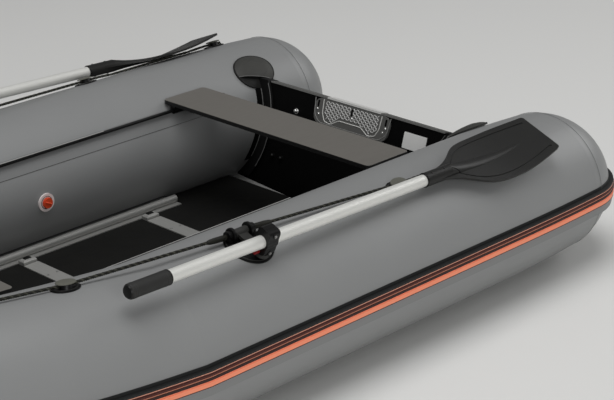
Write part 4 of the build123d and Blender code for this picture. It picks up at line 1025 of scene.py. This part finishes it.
def floor_trim():
    """Black clips on the blocks, a dark line painted as the shade where stringer meets tube, and the cross
    bars' screws.
    """
    clips, stringer_shade_lines, screws = Shape(), Shape(), Shape()
    block_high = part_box("stringer_blocks")[1]
    rings = ((11, 6, -1), (11, 6, 2.2), (9, 4.4, 3.6))
    for x in CROSSBAR_STATIONS[:3]:
        middle = Vector((x, block_high[1] - CLIP_IN * MM, block_high[2]))
        for half_l, half_w, height in rings:
            for end, flank in ((-1, -1), (1, -1), (1, 1), (-1, 1)):
                corner = Vector((end * half_l, flank * half_w, height)) * MM
                clips.points.append(middle + corner)
        clips.join(len(rings), 4)
    hull_piece(clips, "stringer_clips", fitting_black)
    # painted shade in the crease where the stringer meets the tube
    stringer_shade_lines.bar([Vector((x, GAP_Y, GAP_Z)) for x in (-0.864, -0.2, 0.61)], 2.5, 6)
    hull_piece(stringer_shade_lines, "stringer_painted_shade_lines", dark_glue_and_painted_shade)
    bar_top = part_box("floor_crossbars")[1][2]
    for x in CROSSBAR_STATIONS:
        for y in (0.06, 0.20):
            for shift in (-0.016, 0.016):
                pan_head(screws, axes((x + shift, y, bar_top), (1, 0, 0), (0, 0, 1)), 2.4, 1.4)
    hull_piece(screws, "floor_screws", dull_steel)


three_strands()
rope_holder_trim()
welded_seams()
strake_flange()
rail_trim()
valve_trim()
motor_plate_trim()
transom_screws()
holder_hood_trim()
holder_channel_trim()
rowlock_trim()
oar_trim()
floor_trim()


# ---- studio and camera ------------------------------------------------------------------------
def studio():
    """Pale floor, a white world, and soft light from above, off the near bow and astern."""
    mesh = bpy.data.meshes.new("studio_floor")
    reach = 30
    corners = [(-reach, -reach, 0), (reach, -reach, 0), (reach, reach, 0), (-reach, reach, 0)]
    mesh.from_pydata(corners, [], [(0, 1, 2, 3)])
    floor = bpy.data.objects.new("studio_floor", mesh)
    scene.collection.objects.link(floor)
    # matt paper: a plain pale ground that takes the boat's shadow
    mesh.materials.append(finish("studio_floor_paper", "#e9e9e7", 0.8)[0])

    world = bpy.data.worlds.new("studio_world")
    scene.world = world
    world.use_nodes = True
    backdrop = world.node_tree.nodes["Background"]
    backdrop.inputs["Color"].default_value = linear("#ffffff")
    backdrop.inputs["Strength"].default_value = 0.19

    boat_middle = Vector((0, 0, 0.3))
    for name, spot, size, power in (
        ("overhead_softbox", (0.4, 0.8, 7.0), 5.8, 272),
        ("near_softbox", (3.4, 10.4, 3.0), 5.6, 330),
        ("stern_softbox", (-8.6, 1.6, 4.2), 4.4, 118),
    ):
        lamp = bpy.data.lights.new(name, "AREA")
        lamp.shape = "DISK"
        lamp.size = size
        lamp.energy = power
        holder = bpy.data.objects.new(name, lamp)
        holder.location = spot
        holder.rotation_euler = (boat_middle - Vector(spot)).to_track_quat("-Z", "Y").to_euler()
        scene.collection.objects.link(holder)


def camera():
    """A long lens from the port bow, looking aft and down over the near tube."""
    yaw, pitch, roll = math.radians(227.51), math.radians(-21.30), math.radians(-1.679)
    ahead = Vector((math.cos(yaw) * math.cos(pitch), math.sin(yaw) * math.cos(pitch), math.sin(pitch)))
    across = ahead.cross(Vector((0, 0, 1))).normalized()
    above = across.cross(ahead)
    right = math.cos(roll) * across + math.sin(roll) * above
    top = math.cos(roll) * above - math.sin(roll) * across
    lens = bpy.data.cameras.new("long_lens")
    lens.sensor_width = 36
    lens.lens = 104.8
    lens.shift_x = 0.1301
    lens.shift_y = -0.0217
    lens.clip_end = 100
    holder = bpy.data.objects.new("view_camera", lens)
    turn = Matrix((right, top, -ahead)).transposed()
    holder.matrix_world = Matrix.Translation((2.41875, 3.4635, 2.0751)) @ turn.to_4x4()
    scene.collection.objects.link(holder)
    scene.camera = holder


studio()
camera()
scene.view_settings.view_transform = "Standard"
